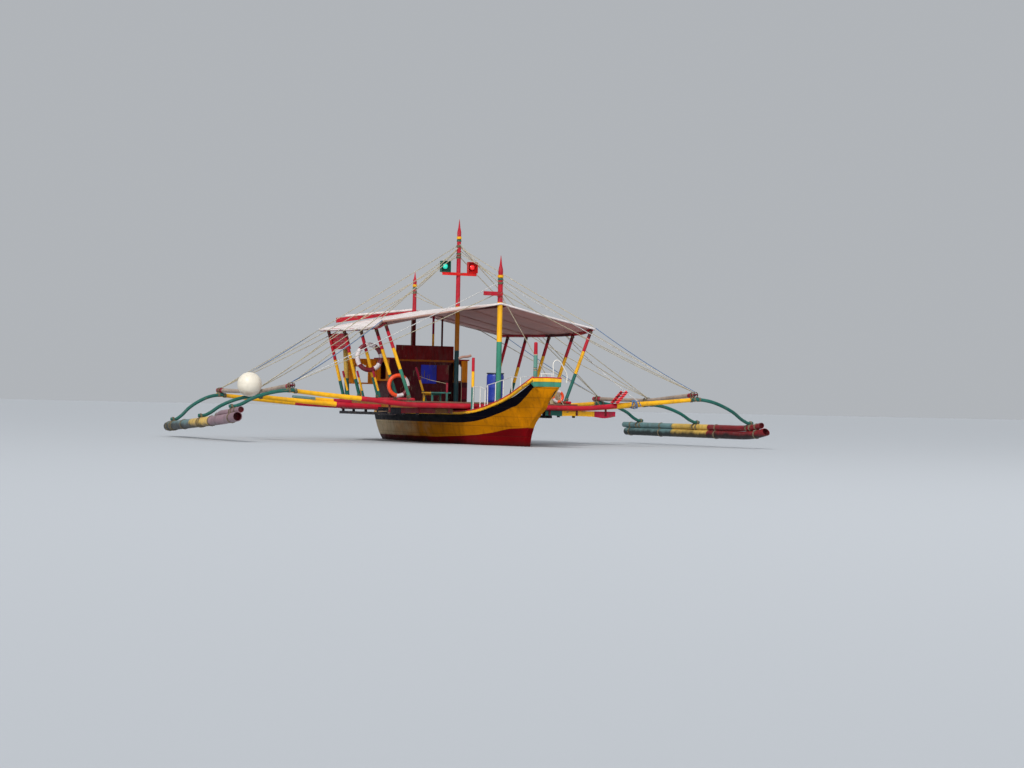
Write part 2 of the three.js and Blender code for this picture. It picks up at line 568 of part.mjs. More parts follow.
// Crossbar on the middle mast, with a sidelight box at each end
const BAR_Y = 475, BAR = [4267, 4343];
add('mast_crossbar', cut(box(MAST_X.middle + 20, MAST_X.middle + 80, -BAR_Y, BAR_Y, ...BAR),
  [cylinder(MAST_X.middle, 0, BAR[0] - 20, BAR[1] + 20, 54.9)]), paint(RED, 0.5));
const LAMP = { y: 375, half: 130, z0: BAR[1] + GAP, z1: BAR[1] + 285, lensZ: BAR[1] + 150, lensR: 75 };
for (const [label, s, color] of [['starboard', -1, 0x0f4a34], ['port', 1, 0x7a1418]]) {
  const y = s * LAMP.y;
  add(`lamp_box_${label}`, join([
    box(MAST_X.middle - 30, MAST_X.middle + 90, y - LAMP.half, y + LAMP.half, LAMP.z0, LAMP.z1),
    cylinderX(MAST_X.middle + 75, MAST_X.middle + 145, y, LAMP.lensZ, LAMP.lensR),
  ]), paint(color, 0.4));
}

// Low cabin, hollow, of four walls and a roof, with a high fascia over its front wall
const CABIN = { front: -1900, rear: -2870, half: 1110, base: DECK_Z + GAP, top: 2130, wall: 30 };
const arch = (y0, y1, z0, z1) => {
  const r = (y1 - y0) / 2, rows = [[y0, z0], [y1, z0]];
  for (let k = 0; k <= 8; k++) {
    const a = Math.PI * k / 8;
    rows.push([(y0 + y1) / 2 + r * Math.cos(a), z1 - r + r * Math.sin(a)]);
  }
  return rows;
};
const DOOR = { y0: 570, y1: 930, top: 2080 };
const FASCIA = { y0: -930, y1: 700, top: 2500 };
const wallX = [CABIN.front - CABIN.wall, CABIN.front];
add('cabin_front', cut(plateYZ([[-CABIN.half, CABIN.base], [CABIN.half, CABIN.base], [CABIN.half, CABIN.top],
  [FASCIA.y1, CABIN.top], [FASCIA.y1, FASCIA.top], [FASCIA.y0, FASCIA.top], [FASCIA.y0, CABIN.top],
  [-CABIN.half, CABIN.top]], ...wallX),
[plateYZ(arch(DOOR.y0, DOOR.y1, CABIN.base - 10, DOOR.top), wallX[0] - 10, wallX[1] + 10)]), paint(WINE, 0.6));

// The rear wall carries a light arched screen on two legs, out to starboard
const SCREEN = { y0: -1980, y1: -1100, z0: 1460, legs: [-1960, -1540] };
const rearX = [CABIN.rear, CABIN.rear + CABIN.wall];
add('cabin_rear', join([
  plateYZ([[-CABIN.half, CABIN.base], [-300, CABIN.base], [-300, 2040], [300, 2040], [300, CABIN.base],
    [CABIN.half, CABIN.base], [CABIN.half, CABIN.top], [-CABIN.half, CABIN.top]], ...rearX),
  plateYZ(rectangle(SCREEN.y0, SCREEN.y1, SCREEN.z0, CABIN.top), ...rearX, [arch(-1700, -1360, 1500, 1980)]),
  ...SCREEN.legs.map(y => box(DECK_REAR + 2, DECK_REAR + 37, y - 20, y + 20, CABIN.base, SCREEN.z0 + 30)),
]), paint(WINE, 0.6));
for (const [label, s] of [['starboard', -1], ['port', 1]]) {
  const y0 = s > 0 ? CABIN.half - CABIN.wall : -CABIN.half, y1 = y0 + CABIN.wall;
  const wall = rectangle(rearX[1] + GAP, wallX[0] - GAP, CABIN.base, CABIN.top);
  add(`cabin_side_${label}`, plateXZ(wall, y0, y1, [arch(-2620, -2150, 1600, 2060)]), paint(WINE, 0.6));
}
const roofHalf = CABIN.half + 60;
add('cabin_roof', box(CABIN.rear - 30, wallX[0] - GAP, -roofHalf, roofHalf, CABIN.top + GAP, CABIN.top + 34),
  paint(RED, 0.6));

// Timber over the rear edge of the canopy, lying on the ridge pole
const TIMBER = { x0: CANOPY_REAR - 75, x1: CANOPY_REAR - 15, centre: 3450, end: 3190, depth: 130, half: 2150 };
const timberSeat = ridgeEndZ + RIDGE_R + GAP, timberFoot = TIMBER.end - TIMBER.depth;
add('awning_beam', plateYZ([[-TIMBER.half, timberFoot], [-240, timberSeat], [240, timberSeat],
  [TIMBER.half, timberFoot], [TIMBER.half, TIMBER.end], [0, TIMBER.centre], [-TIMBER.half, TIMBER.end]],
TIMBER.x0, TIMBER.x1), paint(RED, 0.6));

// Fittings on deck
const drumRows = [[0, 0], [212, 0], [212, 40], [218, 60], [212, 80], [212, 360], [218, 380], [212, 400],
  [212, 690], [218, 700], [218, 733], [0, 733]].map(([r, z]) => [r, z + DECK_Z + GAP]);
add('drum', turned(drumRows, 2290, 60, 28), paint(0x1d3fa0, 0.35));
add('bench', join([
  box(950, 2125, -1350, -1050, 1235, 1270),
  ...[1010, 1550].map(x => box(x - 22, x + 22, -1330, -1070, DECK_Z + GAP, 1240)),
  box(2118, 2162, -1330, -1070, DECK_Z + GAP, 1262),
  box(2118, 2162, -1191, -1147, 1240, 1498),
]), paint(YELLOW, 0.6));
const BITT = { x: 4765, r: 50 }, POST = { x: 2990, r: 38, top: 2120 };
const bittFoot = hullTop(BITT.x + BITT.r) + GAP;
add('bow_bitt', turned([[0, bittFoot], [BITT.r, bittFoot], [BITT.r, 1400], [44, 2440], [30, 2495], [0, 2495]],
  BITT.x, 0), paint(GREEN, 0.5));
add('gunwale_post', cylinder(POST.x, -(railY(POST.x) - 26), railZ(POST.x + POST.r) + GAP, POST.top, POST.r, 20),
  paint(RED, 0.5));

// Life rings and the ball fender
const ring = (x, y, z, big, small) => {
  const g = new THREE.TorusGeometry(big, small, 10, 28);
  g.rotateY(Math.PI / 2);
  g.translate(x, y, z);
  return g;
};
const [, orangePostX, whitePostX] = POST_X;
const WHITE_RING_Z = 2110;
const postShare = (WHITE_RING_Z - railAxis) / (eaveAxis(whitePostX) - railAxis);
const whiteSide = RAIL_Y + (eaveSide(whitePostX) - RAIL_Y) * postShare;
add('life_ring_white', ring(whitePostX + POST_R + 57.6, -whiteSide, WHITE_RING_Z, 315, 60), paint(WHITE, 0.5));
add('life_ring_orange', ring(orangePostX + POST_R + 52, -RAIL_Y, railAxis + RAIL_R + 300 + GAP, 250, 50),
  paint(0xd5482a, 0.5));
const ball = new THREE.SphereGeometry(300, 22, 14);
ball.translate(600, -JOINT_Y - 331, 1357);
add('ball_fender', ball, paint(WHITE, 0.5));

export default root;
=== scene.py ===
"""Studio scene of a painted double outrigger canoe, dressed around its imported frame."""
import random
from math import atan2, cos, exp, hypot, pi, radians, sin, sqrt

import bpy
from mathutils import Matrix, Vector


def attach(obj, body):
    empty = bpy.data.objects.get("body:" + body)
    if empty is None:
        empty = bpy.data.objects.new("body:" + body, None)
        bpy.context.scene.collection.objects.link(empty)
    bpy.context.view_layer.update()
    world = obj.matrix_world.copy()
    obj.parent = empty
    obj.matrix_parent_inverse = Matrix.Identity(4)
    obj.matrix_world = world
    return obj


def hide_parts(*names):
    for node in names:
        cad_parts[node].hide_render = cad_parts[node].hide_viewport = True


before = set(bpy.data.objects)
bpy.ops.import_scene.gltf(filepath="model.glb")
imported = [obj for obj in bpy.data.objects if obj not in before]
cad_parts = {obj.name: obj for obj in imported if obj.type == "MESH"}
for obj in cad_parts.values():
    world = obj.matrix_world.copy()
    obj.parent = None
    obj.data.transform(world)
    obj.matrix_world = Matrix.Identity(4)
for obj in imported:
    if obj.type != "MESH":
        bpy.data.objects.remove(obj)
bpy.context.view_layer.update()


# Camera, floor and light.
# The view is from off the starboard bow, with the eye low over the water, through a long lens.
# The floor lies at the waterline, so the hull stands through it as it does in the water.
EYE = Vector((56.495, -23.93, 1.0))
HEADING, LIFT, ROLL = (radians(angle) for angle in (65.726, 0.491, 1.217))
FLOOR_REACH = 400.0

camera = bpy.data.objects.new("camera", bpy.data.cameras.new("camera"))
camera.data.sensor_width = 36.0
camera.data.lens = 84.375
camera.data.clip_end = 1500.0
camera.matrix_world = (
    Matrix.Translation(EYE)
    @ Matrix.Rotation(HEADING, 4, "Z")
    @ Matrix.Rotation(pi / 2 + LIFT, 4, "X")
    @ Matrix.Rotation(ROLL, 4, "Z")
)
bpy.context.scene.collection.objects.link(camera)
bpy.context.scene.camera = camera
bpy.context.scene.view_settings.view_transform = "Standard"


def linear(red, green, blue):
    """A colour read off in 0 to 255 steps, in the renderer's linear light."""
    return tuple(
        (c / 255 / 12.92 if c / 255 <= 0.04045 else ((c / 255 + 0.055) / 1.055) ** 2.4)
        for c in (red, green, blue)
    )


class Wiring:
    """Adds nodes to a tree. A word that starts with a capital names a socket, any other a setting."""

    prefix = ""

    def __init__(self, tree):
        self.tree = tree

    def join(self, value, socket):
        if isinstance(value, bpy.types.NodeSocket):
            self.tree.links.new(value, socket)
        elif socket.type == "RGBA" and len(value) == 3:
            socket.default_value = (*value, 1.0)
        else:
            socket.default_value = value

    def node(self, kind, out=0, **words):
        made = self.tree.nodes.new(kind if "Node" in kind else self.prefix + kind)
        for word, value in words.items():
            if word[0].isupper():
                self.join(value, made.inputs[word.replace("_", " ")])
            else:
                setattr(made, word, value)
        return made.outputs[out]

    def calc(self, operation, a, b=0.0, kind="ShaderNodeMath"):
        """One step of arithmetic on two values."""
        made = self.tree.nodes.new(kind)
        made.operation = operation
        self.join(a, made.inputs[0])
        self.join(b, made.inputs[1])
        return made.outputs[0]


class Finish(Wiring):
    """A surface material around one Principled shader."""

    prefix = "ShaderNode"

    def __init__(self, name):
        self.material = bpy.data.materials.new(name)
        self.material.use_nodes = True
        super().__init__(self.material.node_tree)
        self.skin = self.tree.nodes["Principled BSDF"]

    def place(self, *scale):
        """Where a point lies on its piece, stretched by scale."""
        return self.node("Mapping", Vector=self.node("TexCoord", out=3), Scale=scale)

    def grain(self, *scale):
        """The piece's own grain, whose third axis runs along it, stretched by scale."""
        grain = self.node("Attribute", out=1, attribute_name="grain")
        return self.node("Mapping", Vector=grain, Scale=scale)

    def axis(self, index):
        """One coordinate of a point on its piece."""
        return self.node("SeparateXYZ", out=index, Vector=self.place(1, 1, 1))

    def paint(self):
        """The colour that each face carries."""
        return self.node("Attribute", attribute_name="paint")

    def spots(self, scale, detail=3.0, rough=0.5):
        """Even noise all over the piece."""
        return self.noise(self.place(1, 1, 1), scale, detail, rough)

    def noise(self, at, scale, detail=3.0, rough=0.5):
        return self.node("TexNoise", Vector=at, Scale=scale, Detail=detail, Roughness=rough)

    def ramp(self, value, *stops):
        """Reads value off a row of (place, colour or grey) stops."""
        made = self.tree.nodes.new("ShaderNodeValToRGB")
        band = made.color_ramp
        while len(band.elements) < len(stops):
            band.elements.new(1.0)
        for element, (place, colour) in zip(band.elements, stops):
            element.position = place
            element.color = (*colour, 1) if isinstance(colour, tuple) else (colour, colour, colour, 1)
        self.join(value, made.inputs[0])
        return made.outputs[0]

    def mix(self, factor, a, b, blend="MIX"):
        made = self.tree.nodes.new("ShaderNodeMix")
        made.data_type = "RGBA"
        made.blend_type = blend
        for socket, value in ((0, factor), (6, a), (7, b)):
            self.join(value, made.inputs[socket])
        return made.outputs[2]

    def bump(self, height, distance, strength=1.0, under=None):
        """Relief from a height, on top of the relief under it."""
        rest = {} if under is None else {"Normal": under}
        return self.node("Bump", Strength=strength, Distance=distance, Height=height, **rest)

    def wear(self, **sockets):
        """Joins the named sockets of the shader and gives the material."""
        for word, value in sockets.items():
            self.join(value, self.skin.inputs[word.replace("_", " ")])
        return self.material


def light(kind, name, energy, place, aim=(0, 0, 1), **settings):
    """A lamp at a place, turned to its aim."""
    lamp = bpy.data.objects.new(name, bpy.data.lights.new(name, kind))
    lamp.data.energy = energy
    for setting, value in settings.items():
        setattr(lamp.data, setting, value)
    lamp.location = place
    lamp.rotation_euler = (Vector(aim) - Vector(place)).to_track_quat("-Z", "Y").to_euler()
    bpy.context.scene.collection.objects.link(lamp)


light("SUN", "high_sun", 1.9, (30, -34, 46), angle=radians(14), color=(1, 0.97, 0.92))
light("AREA", "bow_fill", 5000, (46, -4, 34), shape="DISK", size=40)
light("SUN", "low_fill", 0.75, (30, -17, 6), angle=radians(40))

world = bpy.data.worlds.new("studio")
world.use_nodes = True
world.node_tree.nodes["Background"].inputs["Color"].default_value = (0.84, 0.88, 0.93, 1)
world.node_tree.nodes["Background"].inputs["Strength"].default_value = 0.52
bpy.context.scene.world = world

floor_finish = Finish("pale_floor")
floor_mesh = bpy.data.meshes.new("floor")
corners = [(x * FLOOR_REACH, y * FLOOR_REACH, 0) for x, y in ((-1, -1), (1, -1), (1, 1), (-1, 1))]
floor_mesh.from_pydata(corners, [], [(0, 1, 2, 3)])
floor_mesh.materials.append(floor_finish.wear(Base_Color=(0.5, 0.53, 0.57), Roughness=0.8))
floor = bpy.data.objects.new("floor", floor_mesh)
bpy.context.scene.collection.objects.link(floor)


# Hull.
# A deep planked shell on a sharp stem, open aft of the foredeck, with a raked transom.
# It is painted by hand in mustard over a dark red bottom, with a black band under the gunwale.
RED, YELLOW, GREEN = linear(186, 26, 46), linear(250, 184, 28), linear(62, 138, 114)
DARK_GREEN, WINE, BLACK = linear(34, 98, 88), linear(92, 8, 20), linear(7, 7, 18)
MUSTARD, BOTTOM, CREAM = linear(196, 122, 6), linear(112, 8, 14), linear(196, 182, 148)
BARE = linear(120, 98, 78)
SIDES = {"starboard": -1, "port": 1}
REST = 0.0003       # hair's breadth between a piece and what it rests on
random.seed(7)      # the same boards and grain at each run


def painted(name, dirt=0.35, chips=0.5, under=BARE, gloss=0.38, brush=0.0006, darken_below=None):
    """Oil paint over wood, in the colour that each face carries: faded, streaked and chipped."""
    f = Finish(name)
    base = f.paint()
    drift = f.ramp(f.spots(1.1, 4), (0.34, 0.78), (0.66, 1.1))
    tone = f.mix(1.0, base, drift, "MULTIPLY")
    chalk = f.ramp(f.spots(5.0, 5), (0.5, 0.0), (0.78, 0.2))
    tone = f.mix(chalk, tone, f.mix(0.15, tone, (0.8, 0.78, 0.72)))
    streaks = f.ramp(f.noise(f.place(7, 7, 0.9), 1.0, 5, 0.6), (0.48, 0.0), (0.72, dirt))
    tone = f.mix(streaks, tone, (0.05, 0.042, 0.035))
    fine = f.noise(f.grain(24, 24, 3.5), 1.0, 6, 0.7)
    rubbed = f.ramp(f.spots(2.3, 2), (0.45, 0.0), (0.62, 0.2 * chips))
    edge = f.calc("ADD", f.calc("SUBTRACT", 0.745, rubbed), -0.02)
    bare = f.ramp(f.calc("SUBTRACT", fine, edge), (0.0, 0.0), (0.015, 1.0))
    tone = f.mix(bare, tone, under)
    rough = f.ramp(f.spots(9.0, 3), (0.3, gloss), (0.7, gloss + 0.22))
    strokes = f.noise(f.grain(60, 60, 2.0), 1.0, 3)
    relief = f.bump(strokes, brush, 0.6, f.bump(bare, -0.0008, 0.8))
    # Below a given height the colour turns dark, with a ragged edge.
    if darken_below:
        ragged_height = f.calc("MULTIPLY", f.noise(f.place(3, 3, 1), 2.0, 5), 0.2)
        ragged_height = f.calc("ADD", f.axis(2), ragged_height)
        tone = f.mix(f.ramp(ragged_height, (darken_below, 0.92), (darken_below + 0.09, 0.0)), tone, linear(20, 22, 20))
    return f.wear(Base_Color=tone, Roughness=rough, Normal=relief, Specular_IOR_Level=0.2)


pole_paint = painted("pole_paint", dirt=0.3, chips=0.6)
board_paint = painted("board_paint", dirt=0.45, chips=0.8)


def turns(count):
    """Angles evenly round a circle."""
    return [2 * pi * i / count for i in range(count)]


def lengthwise(rings):
    """Grain along the boat for the points of rings."""
    return [(p.y, p.z, p.x) for ring in rings for p in ring]


def own_grain():
    """A place in the grain that no other pole or timber has."""
    return Vector((random.random() * 9, random.random() * 9, random.random() * 9))


def present(name, mesh, body, replaces, smooth):
    """Shades a mesh smooth up to an angle and makes it a piece that rides on its body."""
    mesh.polygons.foreach_set("use_smooth", [True] * len(mesh.polygons))
    mesh.set_sharp_from_angle(angle=radians(smooth))
    made = bpy.data.objects.new(name, mesh)
    bpy.context.scene.collection.objects.link(made)
    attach(made, body)
    if replaces:
        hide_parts(replaces)
    return made


class Shape:
    """Collects the points and faces of a piece, with a paint colour and a grain for each."""

    def __init__(self):
        self.points, self.faces, self.paints, self.grains = [], [], [], []

    def put(self, points, faces, paints, grains=None):
        start = len(self.points)
        self.points += [tuple(p) for p in points]
        self.grains += [tuple(g) for g in (grains or points)]
        self.faces += [tuple(start + i for i in face) for face in faces]
        self.paints += paints if isinstance(paints, list) else [paints] * len(faces)

    def rings(self, rings, paints, caps=(True, True), grains=None):
        """Skins rings of points. paints has a colour for each gap between rings."""
        n, faces, colours = len(rings[0]), [], []
        for r in range(len(rings) - 1):
            for i in range(n):
                a, b = r * n + i, r * n + (i + 1) % n
                faces.append((a, b, b + n, a + n))
                colours.append(paints[r] if isinstance(paints, list) else paints)
        last = (len(rings) - 1) * n
        if caps[0]:
            faces.append(tuple(range(n))[::-1])
            colours.append(colours[0])
        if caps[1]:
            faces.append(tuple(last + i for i in range(n)))
            colours.append(colours[-2] if caps[0] else colours[-1])
        self.put([p for ring in rings for p in ring], faces, colours, grains)

    def tube(self, path, radius, bands, sides=16, step=0.12, caps=(True, True)):
        """A round pole along path, painted in bands of (share of its length, colour)."""
        path = [Vector(p) for p in path]
        lengths = [0.0]
        for a, b in zip(path, path[1:]):
            lengths.append(lengths[-1] + (b - a).length)
        total = lengths[-1]
        wide = radius if callable(radius) else lambda t: radius
        marks = {0.0, total, *(s * total for s, _ in bands if 0 < s < 1), *lengths}
        marks |= {total * i / max(1, round(total / step)) for i in range(round(total / step) + 1)}
        trim = min(0.012, total * 0.02)
        marks = sorted(m for m in marks if m in (0.0, total) or trim * 1.5 < m < total - trim * 1.5)
        marks = [marks[0], trim, *marks[1:-1], total - trim, marks[-1]]
        marks = [m for i, m in enumerate(marks) if i == 0 or m - marks[i - 1] > 1e-5]
        rings, colours, grains, side = [], [], [], None
        seed = own_grain()
        for k, m in enumerate(marks):
            j = next((i for i in range(1, len(lengths)) if m <= lengths[i] + 1e-9), len(lengths) - 1)
            share = (m - lengths[j - 1]) / max(1e-9, lengths[j] - lengths[j - 1])
            centre = path[j - 1].lerp(path[j], share)
            here = (path[j] - path[j - 1]).normalized()
            near = 1e-4 + 0.5 * step
            if j > 1 and m - lengths[j - 1] < near:
                here = (here + (path[j - 1] - path[j - 2]).normalized()).normalized()
            elif j < len(path) - 1 and lengths[j] - m < near:
                here = (here + (path[j + 1] - path[j]).normalized()).normalized()
            if side is None:
                side = here.orthogonal().normalized()
            side = (side - here * side.dot(here)).normalized()
            up = here.cross(side)
            r = wide(m / total) * (0.86 if k in (0, len(marks) - 1) and all(caps) else 1.0)
            flat = [(r * cos(a), r * sin(a)) for a in turns(sides)]
            rings.append([centre + side * x + up * y for x, y in flat])
            grains += [seed + Vector((x, y, m)) for x, y in flat]
            middle = (m + (marks[k + 1] if k + 1 < len(marks) else m)) / 2 / total
            colours.append([c for s, c in bands if s <= middle + 1e-9][-1])
        self.rings(rings, colours, caps, grains)

    def beam(self, start, end, width, depth, paint, up=(0, 0, 1)):
        """A sawn timber between two points. Its width lies across up, its depth along up."""
        start, end = Vector(start), Vector(end)
        along = (end - start).normalized()
        across = along.cross(Vector(up)).normalized()
        rise = across.cross(along)
        flat = [(x * width / 2, y * depth / 2) for x, y in ((-1, -1), (1, -1), (1, 1), (-1, 1))]
        rings = [[c + across * x + rise * y for x, y in flat] for c in (start, end)]
        seed, length = own_grain(), (end - start).length
        grains = [seed + Vector((x, y, m)) for m in (0, length) for x, y in flat]
        self.rings(rings, paint, grains=grains)

    def box(self, low, high, paint, grain="X"):
        """A block between two corners, with its grain along an axis."""
        low, high = Vector(low), Vector(high)
        middle, size = (low + high) / 2, high - low
        k = "XYZ".index(grain)
        start, end = middle.copy(), middle.copy()
        start[k], end[k] = low[k], high[k]
        up = (0, 0, 1) if k < 2 else (0, 1, 0)
        width, depth = (size.y, size.z) if k == 0 else (size.x, size.z) if k == 1 else (size.x, size.y)
        self.beam(start, end, width, depth, paint, up)

    def piece(self, name, materials, slot, body="boat", replaces=None, bevel=0.0, smooth=35, merge=0.0):
        """Makes the object and rides it on its body."""
        mesh = bpy.data.meshes.new(name)
        mesh.from_pydata(self.points, [], self.faces)
        paint = mesh.attributes.new("paint", "FLOAT_COLOR", "CORNER")
        colours = [c for face, tone in zip(self.faces, self.paints) for _ in face for c in (*tone, 1.0)]
        paint.data.foreach_set("color", colours)
        grain = mesh.attributes.new("grain", "FLOAT_VECTOR", "POINT")
        grain.data.foreach_set("vector", [c for g in self.grains for c in g])
        for material in materials if isinstance(materials, list) else [materials]:
            mesh.materials.append(material)
        made = present(name, mesh, body, replaces, smooth)
        if merge:
            made.modifiers.new("weld", "WELD").merge_threshold = merge
        if bevel:
            rounding = made.modifiers.new("rounding", "BEVEL")
            rounding.width, rounding.segments = bevel, 2
            rounding.limit_method, rounding.angle_limit = "ANGLE", radians(40)
        return made


STERN_X, BOW_X = -4.4, 5.42
# Each row: x, height of the bottom edge, height of the rail, half beam at the rail, fullness
HULL = [
    (STERN_X, 0.62, 0.76, 0.545, 0.3),
    (-4.33, 0.33, 0.762, 0.56, 0.32),
    (-4.255, 0.06, 0.763, 0.58, 0.33),
    (-4.19, -0.11, 0.764, 0.6, 0.33),
    (-3.9, -0.18, 0.766, 0.66, 0.32),
    (-3.0, -0.35, 0.77, 0.8, 0.27),
    (-1.5, -0.35, 0.773, 0.915, 0.25),
    (0.0, -0.35, 0.778, 0.95, 0.25),
    (1.2, -0.35, 0.783, 0.945, 0.27),
    (2.217, -0.35, 0.792, 0.915, 0.31),
    (3.0, -0.35, 0.833, 0.868, 0.42),
    (3.47, -0.35, 0.907, 0.79, 0.9),
    (3.9, -0.32, 1.02, 0.69, 1.5),
    (4.2, -0.235, 1.11, 0.618, 1.9),
    (4.395, -0.06, 1.177, 0.58, 2.05),
    (4.43, 0.14, 1.189, 0.574, 2.0),
    (4.49, 0.31, 1.21, 0.565, 1.9),
    (4.574, 0.45, 1.239, 0.553, 1.85),
    (4.7, 0.585, 1.288, 0.538, 1.85),
    (4.87, 0.705, 1.359, 0.516, 1.85),
    (5.05, 0.82, 1.442, 0.48, 1.8),
    (5.22, 0.905, 1.528, 0.434, 1.65),
    (5.33, 0.985, 1.59, 0.396, 1.35),
    (5.395, 1.17, 1.631, 0.37, 0.85),
    (BOW_X, 1.39, 1.645, 0.36, 0.16),
]
STEM_HALF = 0.035
CAP_HEIGHT, CAP_WIDTH = 0.06, 0.075
BAND_DEPTH = [(-4.4, 0.17), (2.0, 0.19), (3.0, 0.19), (3.73, 0.163), (4.49, 0.16), (4.82, 0.121),
              (5.2, 0.093), (5.325, 0.095), (5.35, 0.12), (5.5, 0.137)]
NOSE_DEPTH = [(-4.4, 0.0), (5.325, 0.0), (5.35, 0.12), (5.5, 0.137)]
PAINT_LINE = [(-4.4, 0.15), (0.75, 0.169), (2.28, 0.226), (2.98, 0.262), (3.27, 0.304), (3.53, 0.344),
              (3.73, 0.39), (3.99, 0.436), (4.38, 0.455), (4.58, 0.463), (5.5, 0.5)]


def read_off(rows, x):
    """The value of a table at x, on straight lines between its rows."""
    if x <= rows[0][0]:
        return rows[0][1]
    for a, b in zip(rows, rows[1:]):
        if x <= b[0]:
            return a[1] + (b[1] - a[1]) * (x - a[0]) / (b[0] - a[0])
    return rows[-1][1]


def fair(rows, x, column):
    """A column of a table at x, on a fair curve through its rows."""
    k = max(i for i in range(len(rows) - 1) if rows[i][0] <= x + 1e-9)
    a, b = rows[k], rows[k + 1]
    span = b[0] - a[0]

    def slope(i):
        if i <= 0 or i >= len(rows) - 1:
            return None
        before = (rows[i][column] - rows[i - 1][column]) / (rows[i][0] - rows[i - 1][0])
        after = (rows[i + 1][column] - rows[i][column]) / (rows[i + 1][0] - rows[i][0])
        return 0.0 if before * after <= 0 else 2 * before * after / (before + after)

    chord = (b[column] - a[column]) / span
    m0, m1 = slope(k), slope(k + 1)
    m0, m1 = chord if m0 is None else m0, chord if m1 is None else m1
    t = (x - a[0]) / span
    return (
        a[column] * (2 * t**3 - 3 * t**2 + 1)
        + m0 * span * (t**3 - 2 * t**2 + t)
        + b[column] * (3 * t**2 - 2 * t**3)
        + m1 * span * (t**3 - t**2)
    )


def rail_height(x):
    return fair(HULL, x, 2)


def rail_half(x):
    return fair(HULL, x, 3)


def hull_half(x, z):
    """Half width of the hull at a place along it and a height."""
    bottom, rail = fair(HULL, x, 1), rail_height(x)
    t = min(1.0, max(0.0, (z - bottom) / (rail - bottom)))
    return STEM_HALF + (rail_half(x) - STEM_HALF) * t ** fair(HULL, x, 4)


# Stations stand closer together where the stem and the nose curve fast
stations = [STERN_X + i * 0.07 for i in range(4)] + [-4.1 + i * 0.14 for i in range(60)]
stations += [4.28, 4.34, 4.37, 4.395, 4.41, 4.43, 4.46, 4.49, 4.53, 4.574, 4.587, 4.63]
stations += [4.7 + i * 0.06 for i in range(10)] + [5.28, 5.31, 5.325, 5.33, 5.35, 5.375, 5.395, 5.408, BOW_X]
# Rows of the skin between bottom, paint line, black band, nose band and cap
SKIN_ROWS = [(9, BOTTOM), (11, MUSTARD), (3, BLACK), (3, GREEN)]
FLARE = 2.2       # crowds the rows of the bottom towards the keel, where the section turns


def station_rows(x):
    """Heights of the skin's rows at one station, from the keel up."""
    bottom, top = fair(HULL, x, 1), rail_height(x) - CAP_HEIGHT
    marks = [bottom]
    for level in (read_off(PAINT_LINE, x), top - read_off(BAND_DEPTH, x), top - read_off(NOSE_DEPTH, x), top):
        marks.append(min(top, max(marks[-1], level)))
    rows = [bottom]
    for k, (count, _) in enumerate(SKIN_ROWS):
        low, high = marks[k], marks[k + 1]
        for i in range(1, count + 1):
            share = i / count
            if k == 0 or (k == 1 and marks[1] == bottom):
                share = share**FLARE
            rows.append(low + (high - low) * share)
    return rows


shell = Shape()
row_paints = [paint for count, paint in SKIN_ROWS for _ in range(count)]
hull_rings = []
for x in stations:
    heights = station_rows(x)
    half = [Vector((x, hull_half(x, z), z)) for z in heights]
    hull_rings.append([Vector((x, -p.y, p.z)) for p in reversed(half)] + half)
across = len(hull_rings[0])
strip_paints = row_paints[::-1] + [BOTTOM] + row_paints
points, faces, colours = [p for ring in hull_rings for p in ring], [], []
for r in range(len(hull_rings) - 1):
    for i in range(across - 1):
        a = r * across + i
        faces.append((a, a + across, a + across + 1, a + 1))
        afloat = i == across // 2 - 1 and fair(HULL, stations[r], 1) > read_off(PAINT_LINE, stations[r])
        colours.append(MUSTARD if afloat else strip_paints[i])
last = (len(hull_rings) - 1) * across
faces += [tuple(range(across)), tuple(last + i for i in reversed(range(across)))]
colours += [MUSTARD, MUSTARD]
shell.put(points, faces, colours, lengthwise(hull_rings))

f = Finish("hull_paint")
base = f.paint()
along = f.axis(0)
height = f.axis(2)
# Chalky cream patches grow towards the stern, where the mustard has worn off
patches = f.noise(f.place(1, 1, 1.6), 1.3, 5)
worn = f.ramp(f.calc("ADD", f.calc("MULTIPLY", along, -0.22), patches), (0.5, 0.0), (1.05, 0.8))
topsides = f.ramp(f.node("SeparateColor", out=1, Color=base), (0.05, 0.0), (0.12, 1.0))
tone = f.mix(f.calc("MULTIPLY", worn, topsides), base, CREAM)
tone = f.mix(1.0, tone, f.ramp(f.noise(f.place(0.6, 0.6, 1.8), 1.6, 5), (0.3, 0.72), (0.7, 1.1)), "MULTIPLY")
# Rain and rust run down from the gunwale, and the hull is darker just above the waterline, and higher up aft
streaks = f.ramp(f.noise(f.place(9, 9, 0.7), 1.0, 5, 0.6), (0.5, 0.0), (0.75, 0.5))
tone = f.mix(f.calc("MULTIPLY", streaks, topsides), tone, linear(84, 52, 18))
ragged_height = f.calc("ADD", height, f.calc("MULTIPLY", f.noise(f.place(2.2, 2.2, 1), 1.5, 4), 0.12))
aft = f.calc("MULTIPLY", f.ramp(along, (0.0, 0.1), (0.3, 0.0)), f.ramp(ragged_height, (0.0, 1.0), (0.5, 0.0)))
tone = f.mix(f.ramp(f.calc("SUBTRACT", ragged_height, aft), (0.04, 0.85), (0.2, 0.0)), tone, linear(34, 26, 22))
planks = f.node("TexWave", Vector=f.place(0.02, 0.02, 1), Scale=1.35, Distortion=0.25, Detail=2.0,
                bands_direction="Z", wave_profile="SIN", out=1)
seam = f.ramp(planks, (0.0, 1.0), (0.03, 0.0))
tone = f.mix(f.calc("MULTIPLY", seam, 0.22), tone, (0.03, 0.02, 0.01))
fine = f.noise(f.place(3, 24, 24), 1.0, 6, 0.7)
chips = f.ramp(fine, (0.7, 0.0), (0.715, 0.8))
tone = f.mix(chips, tone, BARE)
relief = f.bump(f.noise(f.place(2, 30, 30), 1.0, 3), 0.0012, 0.5, f.bump(seam, -0.004, 0.9))
